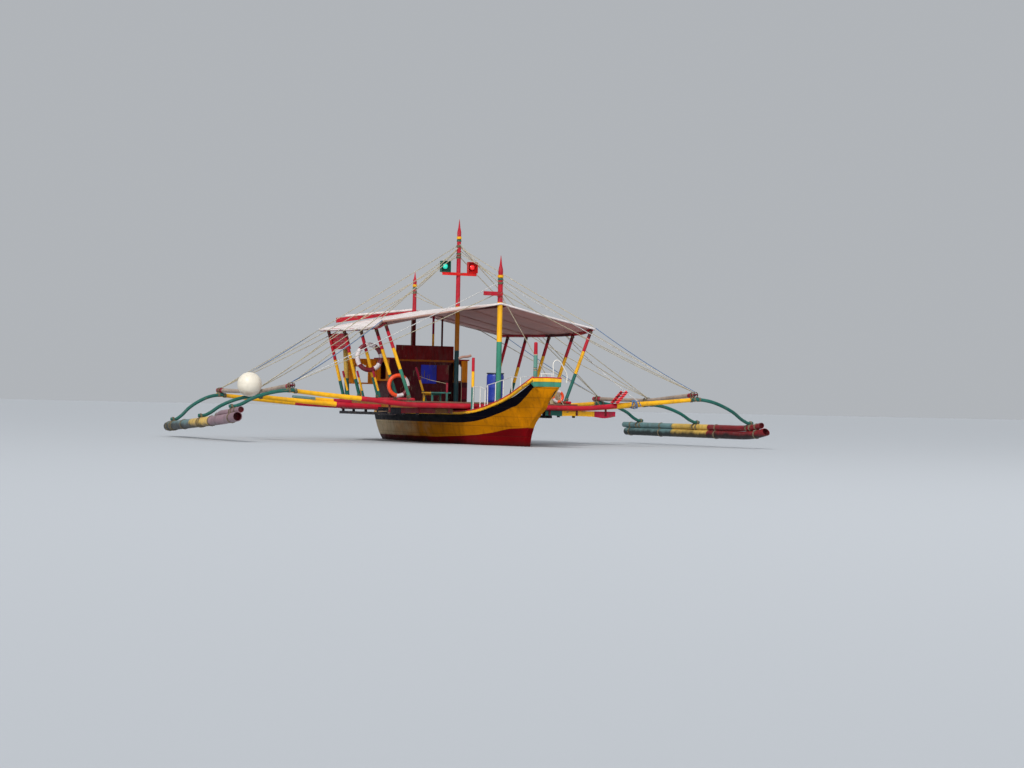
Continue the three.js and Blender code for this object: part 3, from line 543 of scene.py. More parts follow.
rough = f.ramp(f.spots(7.0, 3), (0.3, 0.34), (0.7, 0.6))
hull_paint = f.wear(Base_Color=tone, Roughness=rough, Normal=relief, Specular_IOR_Level=0.02)
hull = shell.piece("hull_shell", hull_paint, slot="mustard_planking", replaces="hull", merge=0.0004,
                   smooth=50)
wall = hull.modifiers.new("plank_thickness", "SOLIDIFY")
wall.thickness = 0.04
wall.offset = -1.0

# Caps on the gunwales, with a red toe strip that rounds the top edge
CAP_OUT = 0.012
TOE_HEIGHT, TOE_WIDTH = 0.035, 0.042
for side, s in SIDES.items():
    cap = Shape()
    for low, tall, out, wide, paint in (
        (-CAP_HEIGHT + REST, 0.0, CAP_OUT, CAP_WIDTH, YELLOW),
        (0.0, TOE_HEIGHT, CAP_OUT - 0.006, TOE_WIDTH, RED),
    ):
        rings = []
        for x in stations[:-2] + [BOW_X - 0.008]:
            z, y = rail_height(x), rail_half(x)
            section = [(out, low), (out, tall), (out - wide, tall), (out - wide, low)]
            rings.append([Vector((x, s * (y + sideways), z + up)) for sideways, up in section][::s])
        cap.rings(rings, paint, grains=lengthwise(rings))
    cap.piece(f"cap_{side}", board_paint, slot="yellow_paint", replaces=f"gunwale_{side}", bevel=0.008)


class Tree(Wiring):
    """A Geometry Nodes tree with named inputs, which ends in real geometry with its material."""

    prefix = "GeometryNode"

    def __init__(self, name, **inputs):
        super().__init__(bpy.data.node_groups.new(name, "GeometryNodeTree"))
        face = self.tree.interface
        face.new_socket("Start", in_out="INPUT", socket_type="NodeSocketGeometry")
        self.sockets = {}
        for word, kind in inputs.items():
            self.sockets[word] = face.new_socket(word, in_out="INPUT", socket_type="NodeSocket" + kind)
        face.new_socket("Result", in_out="OUTPUT", socket_type="NodeSocketGeometry")
        self.given = self.tree.nodes.new("NodeGroupInput").outputs

    def field(self, name, kind="FLOAT"):
        """A named attribute of the points."""
        return self.node("InputNamedAttribute", data_type=kind, Name=name)

    def keep(self, geometry, value):
        """Carries a value along with the geometry."""
        made = self.tree.nodes.new("GeometryNodeCaptureAttribute")
        made.capture_items.new("FLOAT", "kept")
        self.join(geometry, made.inputs["Geometry"])
        self.join(value, made.inputs["kept"])
        return made.outputs["Geometry"], made.outputs["kept"]

    def store(self, geometry, name, value, kind="FLOAT", domain="POINT"):
        return self.node("StoreNamedAttribute", data_type=kind, domain=domain,
                         Geometry=geometry, Name=name, Value=value)

    def vector(self, x, y, z):
        return self.node("ShaderNodeCombineXYZ", X=x, Y=y, Z=z)

    def end(self, geometry):
        real = self.node("RealizeInstances", Geometry=geometry)
        dressed = self.node("SetMaterial", Geometry=real, Material=self.given["Material"])
        self.join(dressed, self.tree.nodes.new("NodeGroupOutput").inputs["Result"])


def grow(name, tree, points, slot, edges=(), replaces=None, fields=None, **values):
    """Runs a tree on points and edges, and rides the plain mesh that it makes."""
    seed_mesh = bpy.data.meshes.new(name + "_seed")
    seed_mesh.from_pydata([tuple(p) for p in points], list(edges), [])
    for field, rows in (fields or {}).items():
        wide = hasattr(rows[0], "__len__")
        data = seed_mesh.attributes.new(field, "FLOAT_VECTOR" if wide else "FLOAT", "POINT").data
        flat = [c for row in rows for c in row] if wide else list(rows)
        data.foreach_set("vector" if wide else "value", flat)
    carrier = bpy.data.objects.new(name + "_seed", seed_mesh)
    bpy.context.scene.collection.objects.link(carrier)
    growth = carrier.modifiers.new("growth", "NODES")
    growth.node_group = tree.tree
    for word, value in values.items():
        growth[tree.sockets[word].identifier] = value
    carrier.update_tag()
    ready = carrier.evaluated_get(bpy.context.evaluated_depsgraph_get())
    mesh = bpy.data.meshes.new_from_object(ready)
    carrier.modifiers.remove(growth)
    bpy.data.objects.remove(carrier)
    mesh.name = name
    return present(name, mesh, "boat", replaces, 40)


# Board across the nose.
# A thick plank nailed across the flat nose, striped red, yellow and green like the caps.
def slab(shape, outline, low, high, paint, axis="Y"):
    """A plank sawn to an outline, across the boat or along it."""
    at = (lambda a, b, c: (a, c, b)) if axis == "Y" else (lambda a, b, c: (c, a, b))
    turn = sum(a[0] * b[1] - b[0] * a[1] for a, b in zip(outline, outline[1:] + outline[:1]))
    order = outline if (turn > 0) == (axis == "X") else outline[::-1]
    ends = [[Vector(at(a, b, c)) for a, b in order] for c in (low, high)]
    grain = [(p.x if axis == "X" else p.y, p.z, p.y if axis == "X" else p.x) for ring in ends for p in ring]
    shape.rings(ends, paint, grains=grain)


NOSE_BACK, NOSE_FACE = BOW_X + 0.002, BOW_X + 0.037
nose = Shape()
# Each row: lower edge at the sides, its crown, half width there, paint above it
NOSE_ROWS = [(1.432, 1.432, 0.352, GREEN), (1.545, 1.55, 0.366, YELLOW), (1.625, 1.638, 0.371, RED),
             (1.648, 1.664, 0.373, RED)]
for (low, low_mid, wide_low, paint), (high, high_mid, wide_high, _) in zip(NOSE_ROWS, NOSE_ROWS[1:]):
    edge = [(wide_low * k / 6, low_mid - (low_mid - low) * (k / 6) ** 2) for k in range(-6, 7)]
    edge += [(wide_high * k / 6, high_mid - (high_mid - high) * (k / 6) ** 2) for k in range(6, -7, -1)]
    slab(nose, edge, NOSE_BACK, NOSE_FACE + (0.003 if paint != GREEN else -0.003), paint, "X")
nose.piece("nose_planks", board_paint, slot="green_paint", replaces="nose_board", bevel=0.007)


# Foredeck.
# Bare planks laid across from gunwale to gunwale, from the main deck to the nose.
f = Finish("deck_wood")
shade = f.node("Attribute", out=2, attribute_name="tone")
wood = f.ramp(f.noise(f.grain(30, 30, 1.6), 1.0, 6, 0.65), (0.3, linear(84, 62, 46)),
              (0.7, linear(140, 112, 86)))
wood = f.mix(1.0, wood, f.ramp(shade, (0.0, 0.62), (1.0, 1.15)), "MULTIPLY")
worn = f.ramp(f.spots(1.4, 5, 0.6), (0.42, 0.0), (0.68, 0.55))
wood = f.mix(worn, wood, linear(118, 40, 34))
year_rings = f.node("TexWave", Vector=f.grain(12, 12, 0.5), Scale=2.0, Distortion=6.0, Detail=3.0, out=1)
relief = f.bump(year_rings, 0.0009, 0.7, f.bump(worn, 0.0006, 0.6))
deck_wood = f.wear(Base_Color=wood, Roughness=0.72, Normal=relief)

FOREDECK = (2.47, 5.375)
FORE_PITCH, FORE_THICK = 0.121, 0.028
foredeck = Shape()
boards = round((FOREDECK[1] - FOREDECK[0]) / FORE_PITCH)
for k in range(boards):
    x0 = FOREDECK[0] + k * (FOREDECK[1] - FOREDECK[0]) / boards
    x1 = x0 + (FOREDECK[1] - FOREDECK[0]) / boards - 0.004
    rings = []
    for s in (-1, 1):
        under = [Vector((x, s * (hull_half(x, rail_height(x) - CAP_HEIGHT) - 0.041),
                         rail_height(x) - CAP_HEIGHT - FORE_THICK)) for x in (x0, x1)]
        rings.append(under + [p + Vector((0, 0, FORE_THICK)) for p in reversed(under)])
    seed = random.random() * 9
    foredeck.rings(rings, (0.5, 0.5, 0.5), grains=[(p.z + seed, p.x, p.y) for ring in rings for p in ring])
foredeck.piece("foredeck", deck_wood, slot="deck_board", bevel=0.004)


# Keel and stern post.
# A bar of hardwood under the hull with deadwood for the shaft, and a post on the raked transom.
bottom_paint = painted("bottom_paint", dirt=0.6, chips=0.7, gloss=0.5)
keel = Shape()
keel_line = [(3.4, -0.3505), (3.15, -0.47), (-3.7, -0.47), (-3.7, -0.42), (-3.7, -0.38),
             (-3.7, -0.221), (-3.0, -0.3505)]
slab(keel, keel_line, -STEM_HALF, STEM_HALF, BOTTOM)
keel.tube([(-3.7, 0, -0.4), (-3.722, 0, -0.4)], 0.03, [(0, BARE)], 20)
keel.piece("keel_bar", bottom_paint, slot="bottom_paint", replaces="keel", bevel=0.006)

RUDDER_X = -4.52
GUDGEONS = (0.18, 0.64)
post = Shape()
slab(post, [(-4.1903, -0.11), (-4.2553, 0.06), (-4.3303, 0.33), (-4.4003, 0.62), (-4.4003, 0.7),
            (-4.475, 0.7), (-4.475, -0.11)], -STEM_HALF, STEM_HALF, MUSTARD)
post.piece("transom_post", board_paint, slot="mustard_planking", replaces="stern_post", bevel=0.006)

f = Finish("rusted_iron")
flakes = f.spots(38.0, 6, 0.7)
iron = f.ramp(flakes, (0.35, linear(52, 46, 44)), (0.52, linear(92, 52, 34)), (0.7, linear(138, 78, 44)))
rusted = f.wear(Base_Color=iron, Roughness=f.ramp(flakes, (0.3, 0.45), (0.7, 0.9)), Metallic=0.55,
                Normal=f.bump(flakes, 0.0012, 0.8))

gudgeons = Shape()
for z in GUDGEONS:
    rings = []
    for radius, level in ((0.0136, -0.02), (0.03, -0.02), (0.03, 0.02), (0.0136, 0.02), (0.0136, -0.02)):
        rings.append([Vector((RUDDER_X + radius * cos(a), radius * sin(a), z + level)) for a in turns(20)])
    gudgeons.rings(rings, BARE, (False, False))
    for s in (-1, 1):
        gudgeons.box((RUDDER_X + 0.026, s * 0.036 - 0.003, z - 0.02),
                     (RUDDER_X + 0.16, s * 0.036 + 0.003, z + 0.02), BARE)
gudgeons.piece("gudgeons", rusted, slot="engine_iron", bevel=0.002, merge=0.0002)


# Rudder.
# A plank blade on an upright iron stock, hung on two pins in the gudgeons, with a wooden tiller.
def turned(shape, rows, x, y, paints, sides=24):
    """A round piece from (radius, height) rows, painted between them."""
    rings = [[Vector((x + r * cos(a), y + r * sin(a), z)) for a in turns(sides)] for r, z in rows]
    grains = [(p.x - x, p.y - y, p.z) for ring in rings for p in ring]
    shape.rings(rings, paints, grains=grains)


NOTCH = 0.028
rudder = Shape()
stock = [(0.02, -0.56), (0.024, -0.553)]
for z in GUDGEONS:
    stock += [(0.024, z - NOTCH), (0.013, z - NOTCH), (0.013, z + NOTCH), (0.024, z + NOTCH)]
stock += [(0.024, 1.203), (0.019, 1.21)]
turned(rudder, stock, RUDDER_X, 0, WINE, 24)
blade = [(0.0, -0.56), (-0.4, -0.51), (-0.43, -0.47), (-0.43, 0.02), (-0.415, 0.075), (-0.16, 0.42),
         (-0.125, 0.52), (-0.12, 0.78), (0.0, 0.78)]
for low, high in ((-0.56, 0.15), (0.21, 0.61), (0.67, 0.78)):
    part = [(RUDDER_X + x, z) for x, z in blade if low - 1e-6 <= z <= high + 1e-6]
    edge = {z: read_off(sorted((zz, xx) for xx, zz in blade[3:8]), z) for z in (low, high)}
    part += [(RUDDER_X + edge[z], z) for z in (low, high) if -0.5 < z < 0.78]
    part += [(RUDDER_X, low), (RUDDER_X, high)]
    middle = (sum(p[0] for p in part) / len(part), sum(p[1] for p in part) / len(part))
    part = sorted(set(part), key=lambda p: atan2(p[1] - middle[1], p[0] - middle[0]))
    slab(rudder, part, -0.016, 0.016, WINE if low > 0 else BOTTOM)
rudder.piece("rudder_blade", bottom_paint, body="rudder", slot="bottom_paint", replaces="rudder", bevel=0.004)
tiller = Shape()
tiller.tube([(RUDDER_X - 0.04, 0, 1.18), (RUDDER_X + 0.3, 0, 1.182), (RUDDER_X + 0.6, 0, 1.18),
             (RUDDER_X + 0.76, 0, 1.18)], lambda t: 0.0195 - 0.003 * t, [(0, YELLOW), (0.72, BARE)], 16)
tiller.piece("tiller", pole_paint, body="rudder", slot="yellow_paint")


# Propeller and engine.
# A three bladed bronze propeller on its shaft, and a diesel block in the well under the deck.
f = Finish("bronze")
patina = f.ramp(f.spots(30.0, 5, 0.6), (0.35, linear(150, 112, 52)), (0.68, linear(92, 100, 74)))
bronze = f.wear(Base_Color=patina, Metallic=0.9, Roughness=f.ramp(f.spots(60.0), (0.3, 0.28), (0.7, 0.5)))

PROP_X, SHAFT_Z = -3.76, -0.4
propeller = Shape()
hub = [(0.006, -0.038), (0.02, -0.036), (0.034, -0.012), (0.034, 0.03), (0.028, 0.038), (0.016, 0.039)]
rings = [[Vector((PROP_X + x, r * cos(a), SHAFT_Z + r * sin(a))) for a in turns(24)] for r, x in hub]
propeller.rings(rings, BARE)
propeller.tube([(PROP_X + 0.02, 0, SHAFT_Z), (-3.34, 0, SHAFT_Z)], 0.0158, [(0, BARE)], 16)
for k in range(3):
    spin = Matrix.Rotation(2 * pi * k / 3, 4, "X")
    rings = []
    for j in range(9):
        t = j / 8
        reach = 0.026 + (0.138 - 0.026) * t
        chord = 0.038 * (0.62 + 1.25 * t - 1.35 * t**4) * (1.0 if j < 8 else 0.55)
        twist = radians(52 - 26 * t)
        ring, sine, cosine = [], sin(twist), cos(twist)
        for a in turns(12):
            c, d = chord * cos(a), (0.0055 - 0.0035 * t) * sin(a)
            skin = Vector((c * sine + d * cosine, c * cosine - d * sine, reach))
            ring.append(spin @ skin + Vector((PROP_X, 0, SHAFT_Z)))
        rings.append(ring)
    propeller.rings(rings, BARE)
propeller.piece("bronze_propeller", bronze, body="propeller", slot="propeller_bronze", replaces="propeller",
                smooth=60)

engine = Shape()
engine.box((-2.05, -0.2, 0.02), (-1.33, 0.2, 0.33), BARE)
engine.box((-1.98, -0.13, 0.33), (-1.4, 0.13, 0.44), BARE)
engine.box((-1.96, -0.105, 0.44), (-1.42, 0.105, 0.5), BARE)
engine.tube([(-1.33, 0, 0.15), (-1.2, 0, 0.15)], 0.17, [(0, BARE)], 32)
engine.tube([(-1.95, 0.235, 0.38), (-1.45, 0.235, 0.38)], 0.045, [(0, BARE)], 20)
for k in range(4):
    engine.tube([(-1.9 + k * 0.14, 0.12, 0.38), (-1.9 + k * 0.14, 0.235, 0.38)], 0.024, [(0, BARE)], 12)
engine.box((-2.05, -0.28, -0.0597), (-1.2, -0.2, 0.06), BARE)
engine.box((-2.05, 0.2, -0.0597), (-1.2, 0.28, 0.06), BARE)
engine.piece("diesel_engine", rusted, slot="engine_iron", replaces="engine", bevel=0.008)
beds = Shape()
for s in (-1, 1):
    beds.box((-2.4, s * 0.24 - 0.05, -0.335), (-0.9, s * 0.24 + 0.05, -0.061), BARE)
for k in range(21):
    x = -3.9 + k * 0.36
    bottom, top = fair(HULL, x, 1) + 0.045, rail_height(x) - 0.075
    for s in (-1, 1):
        levels = [bottom + (top - bottom) * share**2 for share in (0.02, 0.15, 0.3, 0.5, 0.75, 1)]
        line = [(x, s * (hull_half(x, z - 0.012) - 0.062), z) for z in levels]
        for a, b in zip(line, line[1:]):
            beds.beam(a, b, 0.04, 0.036, BARE, up=(0, s, 0.3))
beds.piece("ribs_and_beds", deck_wood, slot="bare_board")


# Booms and their seats.
# Three long poles lie across the hull on sawn seats, red inboard and yellow towards the tips.
BOOM_R, BOOM_TIP_R, JOINT_Y, BOOM_END = 0.062, 0.05, 5.4, 5.52
# Each boom: its place, and the heights of its axis over the hull, 3.4 m out and at its tip
BOOMS = {"front": (2.765, 0.94, 1.045, 1.222), "middle": (0.182, 0.876, 0.922, 1.07),
         "rear": (-2.754, 0.876, 0.925, 1.086)}
# How far the red reaches from the centreline, to starboard and to port
RED_REACH = {"front": (3.648, 3.17), "middle": (3.333, 3.333), "rear": (3.4, 3.4)}


def boom_height(boom, y):
    """Height of a boom's axis at a distance from the centreline."""
    _, z0, z1, z2 = BOOMS[boom]
    rows = [(0.0, z0), (0.7, z0), (2.2, z0), (2.8, z0 + 0.4 * (z1 - z0)), (3.4, z1),
            (4.4, z1 + 0.46 * (z2 - z1)), (BOOM_END, z2 + 0.012)]
    return fair(rows, abs(y), 1)


def boom_radius(y):
    y = abs(y)
    return BOOM_R if y < 3.3 else BOOM_R + (BOOM_TIP_R - BOOM_R) * (y - 3.3) / (BOOM_END - 3.3)


for boom, (x, z0, z1, z2) in BOOMS.items():
    pole = Shape()
    count = 96
    places = [-BOOM_END + 2 * BOOM_END * i / count for i in range(count + 1)]
    path = [(x, y, boom_height(boom, y)) for y in places]
    starboard, port = ((BOOM_END - reach) / (2 * BOOM_END) for reach in RED_REACH[boom])
    pole.tube(path, lambda t: boom_radius((2 * t - 1) * BOOM_END),
              [(0, YELLOW), (starboard, RED), (1 - port, YELLOW)], 20)
    pole.piece(f"{boom}_boom", pole_paint, slot="yellow_paint", replaces=f"boom_{boom}")
    seat = Shape()
    low = max(rail_height(x - 0.075), rail_height(x + 0.075)) - CAP_HEIGHT + REST
    for k in (-1, 0, 1):
        seat.box((x + k * 0.05 - 0.0245, -0.56, low), (x + k * 0.05 + 0.0245, 0.56, z0 - BOOM_R - REST),
                 WINE, "Y")
    seat.piece(f"{boom}_boom_seat", board_paint, slot="bare_board", replaces=f"boom_seat_{boom}", bevel=0.004)


# Arms.
# Bent poles lashed to the boom tips, which spring down to the floats, painted dark green.
ARM_R = 0.045
LOWER_R, UPPER_R = {1: 0.105, -1: 0.115}, 0.075     # the two float pipes, port 1 and starboard -1
FLOAT_REAR, FLOAT_FRONT = -3.35, 3.69


def float_y(x):
    return 6.802 + 0.0568 * x


def float_z(x, s):
    """Height of the thick pipe's axis. The starboard float climbs all the way to its front end."""
    if s > 0:
        return 0.33 + (0.126 * ((x - 2.5) / 1.19) ** 2 if x > 2.5 else 0.0)
    return 0.258 + 0.043 * (x - FLOAT_REAR) + (0.035 * ((x - 1.5) / 2.19) ** 2 if x > 1.5 else 0.0)


def ease(x, low, high):
    """Rises smoothly from 0 to 1 between two places."""
    share = min(1.0, max(0.0, (x - low) / (high - low)))
    return share * share * (3 - 2 * share)


def upper_centre(x, s):
    """Place of the thin pipe's axis. To port it is on top of the thick one all along.
    To starboard it lies beside it aft, on the inner side, and climbs on top of it towards the bow."""
    if s > 0:
        return s * float_y(x), float_z(x, s) + LOWER_R[s] + UPPER_R + REST + max(0.0, x - 2.3) * 0.012
    reach = LOWER_R[s] + UPPER_R + 0.0005 + 0.005 * ease(x, 0.1, 0.6)
    lean = pi * 0.32 * ease(x, 0.3, 1.9)
    return s * (float_y(x) - reach * cos(lean)), float_z(x, s) + reach * sin(lean)


def curve_through(points, steps):
    """Points along a smooth curve through the given ones."""
    points = [Vector(p) for p in points]
    out = []
    for k in range(len(points) - 1):
        a, b = points[max(0, k - 1)], points[k]
        c, d = points[k + 1], points[min(len(points) - 1, k + 2)]
        for i in range(steps):
            t = i / steps
            out.append(0.5 * (2 * b + (c - a) * t + (2 * a - 5 * b + 4 * c - d) * t * t
                              + (3 * b - a - 3 * c + d) * t**3))
    return out + [points[-1]]


def even(path, step):
    """The same path with points at an even spacing."""
    out, carry = [path[0]], 0.0
    for a, b in zip(path, path[1:]):
        length = (b - a).length
        at = step - carry
        while at < length:
            out.append(a.lerp(b, at / length))
            at += step
        carry = (carry + length) % step if length else carry
    if (out[-1] - path[-1]).length < step * 0.4:
        out.pop()
    return out + [path[-1]]


arm_foot = {}
for side, s in SIDES.items():
    for boom, (x, _, _, z) in BOOMS.items():
        ax = x + BOOM_TIP_R + ARM_R + 0.0011
        foot_y, foot_z = upper_centre(ax, s)
        if s < 0 and ax < 2.5:      # these two feet lie on the thick pipe
            foot_y, foot_z = s * float_y(ax), float_z(ax, s) + LOWER_R[s] - UPPER_R
        seat = foot_z + UPPER_R + ARM_R + REST + (0.0024 if ax > 2.5 else 0.0005)
        drop, run = z - seat, abs(foot_y) - JOINT_Y
        rows = [(-0.1, -0.006), (0, 0.008), (0.24 * run, -0.06 * drop), (0.46 * run, -0.24 * drop),
                (0.68 * run, -0.52 * drop), (0.84 * run, -0.83 * drop), (0.95 * run, -drop + 0.006),
                (run - 0.03, -drop), (run + 0.02, -drop), (run + 0.095, -drop)]
        arm = Shape()
        path = even(curve_through([(ax, s * (JOINT_Y + y), z + dz) for y, dz in rows], 12), 0.05)
        arm.tube(path, lambda t: ARM_R - 0.004 * t, [(0, DARK_GREEN)], 18, step=0.5)
        arm.piece(f"{boom}_arm_{side}", pole_paint, slot="dark_green_pole", replaces=f"arm_{boom}_{side}")
        arm_foot[boom, side] = (ax, foot_y, foot_z)


# Long rails of the outriggers.
# One pole on each side lies over the boom tips and ties them together.
LONG_R = 0.065


def lie(z):
    """Height of a long rail's axis where it lies over a boom tip at height z."""
    return z + BOOM_TIP_R + LONG_R + (0.0044 if z > 1.2 else 0.0039 if z > 1.075 else 0.0022)


CRIMSON, FADED_POLE = linear(168, 24, 56), linear(170, 152, 138)
lie_f, lie_m, lie_r = (lie(BOOMS[boom][3]) for boom in BOOMS)
for side, s in SIDES.items():
    rows = [(2.825, lie_f + 0.002), (2.765, lie_f), (1.4, (lie_f + lie_m) / 2 - 0.008), (0.182, lie_m),
            (-1.3, lie_m + 0.004), (-2.754, lie_r), (-3.014, lie_r)]
    rail = Shape()
    rail.tube(even(curve_through([(x, s * JOINT_Y, z) for x, z in rows], 10), 0.12),
              lambda t: LONG_R - 0.016 * sin(pi * t) ** 0.5,
              [(0, CRIMSON), (0.06, FADED_POLE), (0.92, CRIMSON)], 20, step=0.5)
    rail.piece(f"long_rail_{side}", pole_paint, slot="red_pole", replaces=f"outrigger_rail_{side}")


# Floats.
# Two big plastic pipes are lashed together on each side. The thick ones are open in front.
# They are painted grey green aft, yellow amidships and mauve or red forward, and they are darker low down.
GREY_GREEN, PALE_YELLOW, MAUVE = linear(98, 130, 132), linear(214, 176, 84), linear(148, 116, 126)
PIPE_WALL = {1: 0.014, -1: 0.016}
float_paint = painted("float_paint", dirt=0.45, chips=0.6, under=linear(120, 118, 108), gloss=0.3,
                      brush=0.0002, darken_below=0.42)


def pipe_ring(x, r, s, centre=None):
    """A ring of a pipe. The port pipe's front end is sawn at a slant."""
    ring = []
    for a in turns(28):
        up = r * sin(a)
        slant = 0.62 * max(0.0, (x - 3.46) / (FLOAT_FRONT - 3.46)) if s > 0 and not centre else 0.0
        cut = x - slant * (up + LOWER_R[1])
        y, z = centre or (s * float_y(cut), float_z(cut, s))
        ring.append(Vector((cut, y + s * r * cos(a), z + up)))
    return ring[::s]


def pipe_piece(name, node, xs, rings, inner, aft, fore, ahead):
    """Skins a pipe in its three colours, with its inside coloured dark wine red as painted shade."""
    colours = [GREY_GREEN if x <= aft + 0.01 else PALE_YELLOW if x <= fore + 0.01 else ahead for x in xs[1:]]
    pipe = Shape()
    pipe.rings(rings + inner, colours + [ahead] + [WINE] * (len(inner) - 1), grains=lengthwise(rings + inner))
    pipe.piece(name, float_paint, slot="float_pipe", replaces=node, smooth=50)


# Each side: where yellow starts, where the front colour starts, that colour, and the thin pipe's two ends
FLOAT_ROWS = {"starboard": (-0.66, 1.24, MAUVE, FLOAT_REAR, 3.6),
              "port": (-0.85, 0.94, linear(126, 22, 30), -3.5, 3.42)}
for side, (aft, fore, ahead, rear_end, front_end) in FLOAT_ROWS.items():
    s = SIDES[side]
    xs = sorted({FLOAT_REAR + i * (3.46 - FLOAT_REAR) / 56 for i in range(57)} | {aft, fore})
    xs += [3.54, 3.6, FLOAT_FRONT]
    rings = [pipe_ring(x, LOWER_R[s], s) for x in xs]
    inner = [pipe_ring(x, LOWER_R[s] - PIPE_WALL[s], s) for x in (FLOAT_FRONT, 3.55, 3.475)]
    pipe_piece(f"lower_pipe_{side}", f"float_lower_{side}", xs, rings, inner, aft, fore, ahead)
    xs = sorted({rear_end + i * (front_end - rear_end) / 48 for i in range(49)} | {aft, fore})
    rings = [pipe_ring(x, UPPER_R, s, upper_centre(x, s)) for x in xs]
    inner = [pipe_ring(x, UPPER_R - 0.009, s, upper_centre(x, s)) for x in (front_end, front_end - 0.05)]
    pipe_piece(f"upper_pipe_{side}", f"float_upper_{side}", xs, rings, inner, aft, fore, ahead)


# Decks.
# Loose sawn boards lie across bearers, which rest on the middle and rear booms.
# Each board is cut by hand, so their ends and faces don't line up, and nails hold them down.
DECK_Z, DECK_BOARD = 1.04, 0.037
DECK_UNDER = DECK_Z - DECK_BOARD
BEARER_Z = 0.876 + BOOM_R + REST
MAIN_HALF, WING_Y = 0.9, 2.15
ON_DECK = DECK_Z + REST
WING_X, MAIN_X = (-2.85, 2.69), (-4.34, 2.535)

boards_tree = Tree("deck_boards", Width="Float", Length="Float", Thick="Float", Ragged="Float", Seed="Int",
                   Material="Material")
t = boards_tree
size = t.vector(t.given["Width"], t.given["Length"], t.given["Thick"])
board = t.node("MeshCube", Size=size)
spot = t.node("InputIndex")
short = t.node("FunctionNodeRandomValue", out=1, data_type="FLOAT", ID=spot, Seed=t.given["Seed"])
length = t.calc("SUBTRACT", 1.0, t.calc("MULTIPLY", short, t.given["Ragged"]))
jog = t.node("FunctionNodeRandomValue", out=0, data_type="FLOAT_VECTOR", ID=spot, Seed=7)
tip = t.node("FunctionNodeRandomValue", out=1, data_type="FLOAT", ID=spot, Seed=3)
laid = t.node("InstanceOnPoints", Points=t.given["Start"], Instance=board, Scale=t.vector(1.0, length, 1.0))
laid = t.store(laid, "tone", tip, domain="INSTANCE")
laid = t.store(laid, "shift", jog, "FLOAT_VECTOR", domain="INSTANCE")
laid = t.node("RealizeInstances", Geometry=laid)
at = t.node("InputPosition")
parts = [t.node("ShaderNodeSeparateXYZ", out=i, Vector=at) for i in range(3)]
across = t.vector(parts[0], parts[2], parts[1])
shift = t.node("ShaderNodeVectorMath", operation="SCALE", Vector=t.field("shift", "FLOAT_VECTOR"), Scale=9.0)
own = t.calc("ADD", across, shift, "ShaderNodeVectorMath")
t.end(t.store(laid, "grain", own, "FLOAT_VECTOR"))

DECK_PITCH = 0.142
main_spots = [(MAIN_X[0] + (i + 0.5) * DECK_PITCH, 0, DECK_Z - DECK_BOARD / 2)
              for i in range(int((MAIN_X[1] - MAIN_X[0]) / DECK_PITCH))]
main = grow("deck_planks", boards_tree, main_spots, slot="deck_board", replaces="main_deck",
            Width=DECK_PITCH - 0.005, Length=2 * MAIN_HALF, Thick=DECK_BOARD, Ragged=0.004, Seed=1,
            Material=deck_wood)
rounding = main.modifiers.new("worn_edges", "BEVEL")
rounding.width, rounding.segments = 0.003, 1
for side, s in SIDES.items():
    spots = [(WING_X[0] + (i + 0.5) * DECK_PITCH, s * (MAIN_HALF + WING_Y) / 2, DECK_Z - DECK_BOARD / 2)
             for i in range(int((WING_X[1] - WING_X[0]) / DECK_PITCH))]
    wing = grow(f"wing_planks_{side}", boards_tree, spots, slot="deck_board", replaces=f"wing_deck_{side}",
                Width=DECK_PITCH - 0.005, Length=WING_Y - MAIN_HALF - 0.002, Thick=DECK_BOARD, Ragged=0.012,
                Seed=2 + s, Material=deck_wood)
    rounding = wing.modifiers.new("worn_edges", "BEVEL")
    rounding.width, rounding.segments = 0.003, 1

bearers = Shape()
for y0, y1, (x0, x1) in ((0.6, 0.68, MAIN_X), (1.0, 1.08, WING_X), (2.05, 2.13, WING_X)):
    for s in (-1, 1):
        low, high = sorted((s * y0, s * y1))
        bearers.box((x0 + 0.01, low, BEARER_Z), (x1 - 0.01, high, DECK_UNDER), WINE)
bearers.piece("deck_bearers", board_paint, slot="red_board", bevel=0.006)


# Boards hung under the edges of the decks.
# Painted planks are nailed under the outer edges and along the front boom, as spray guards.
GUARD = linear(150, 92, 22)
guards = Shape()
for s in (-1, 1):
    y = s * 2.141
    for x0, x1 in ((-2.686, -1.29), (-1.282, 0.114), (0.25, 1.465), (1.473, 2.69)):
        guards.box((x0, y - 0.009, 0.852), (x1, y + 0.009, 1.0025), GUARD)
        guards.box((x0, y - 0.009, 0.795), (x1, y + 0.009, 0.848), WINE)
    for x0, x1 in ((-2.85, -2.69), (0.118, 0.246)):
        guards.box((x0, y - 0.009, 0.941), (x1, y + 0.009, 1.0025), GUARD)
    # The black posts and the long black beam under each wing are painted shade: dark pieces that stand for
    # the shade under the wing.
    for x in (-2.62, -1.85, -0.97, -0.09, 0.79, 1.67, 2.55):
        guards.box((x - 0.03, s * 2.1 - 0.03, 0.7), (x + 0.03, s * 2.1 + 0.03, BEARER_Z), BLACK, "Z")
    guards.box((-2.8, s * 2.1 - 0.045, 0.672), (1.2, s * 2.1 + 0.045, 0.742), BLACK)
guards.piece("edge_guards", board_paint, slot="red_board", bevel=0.004)

front_guard = Shape()
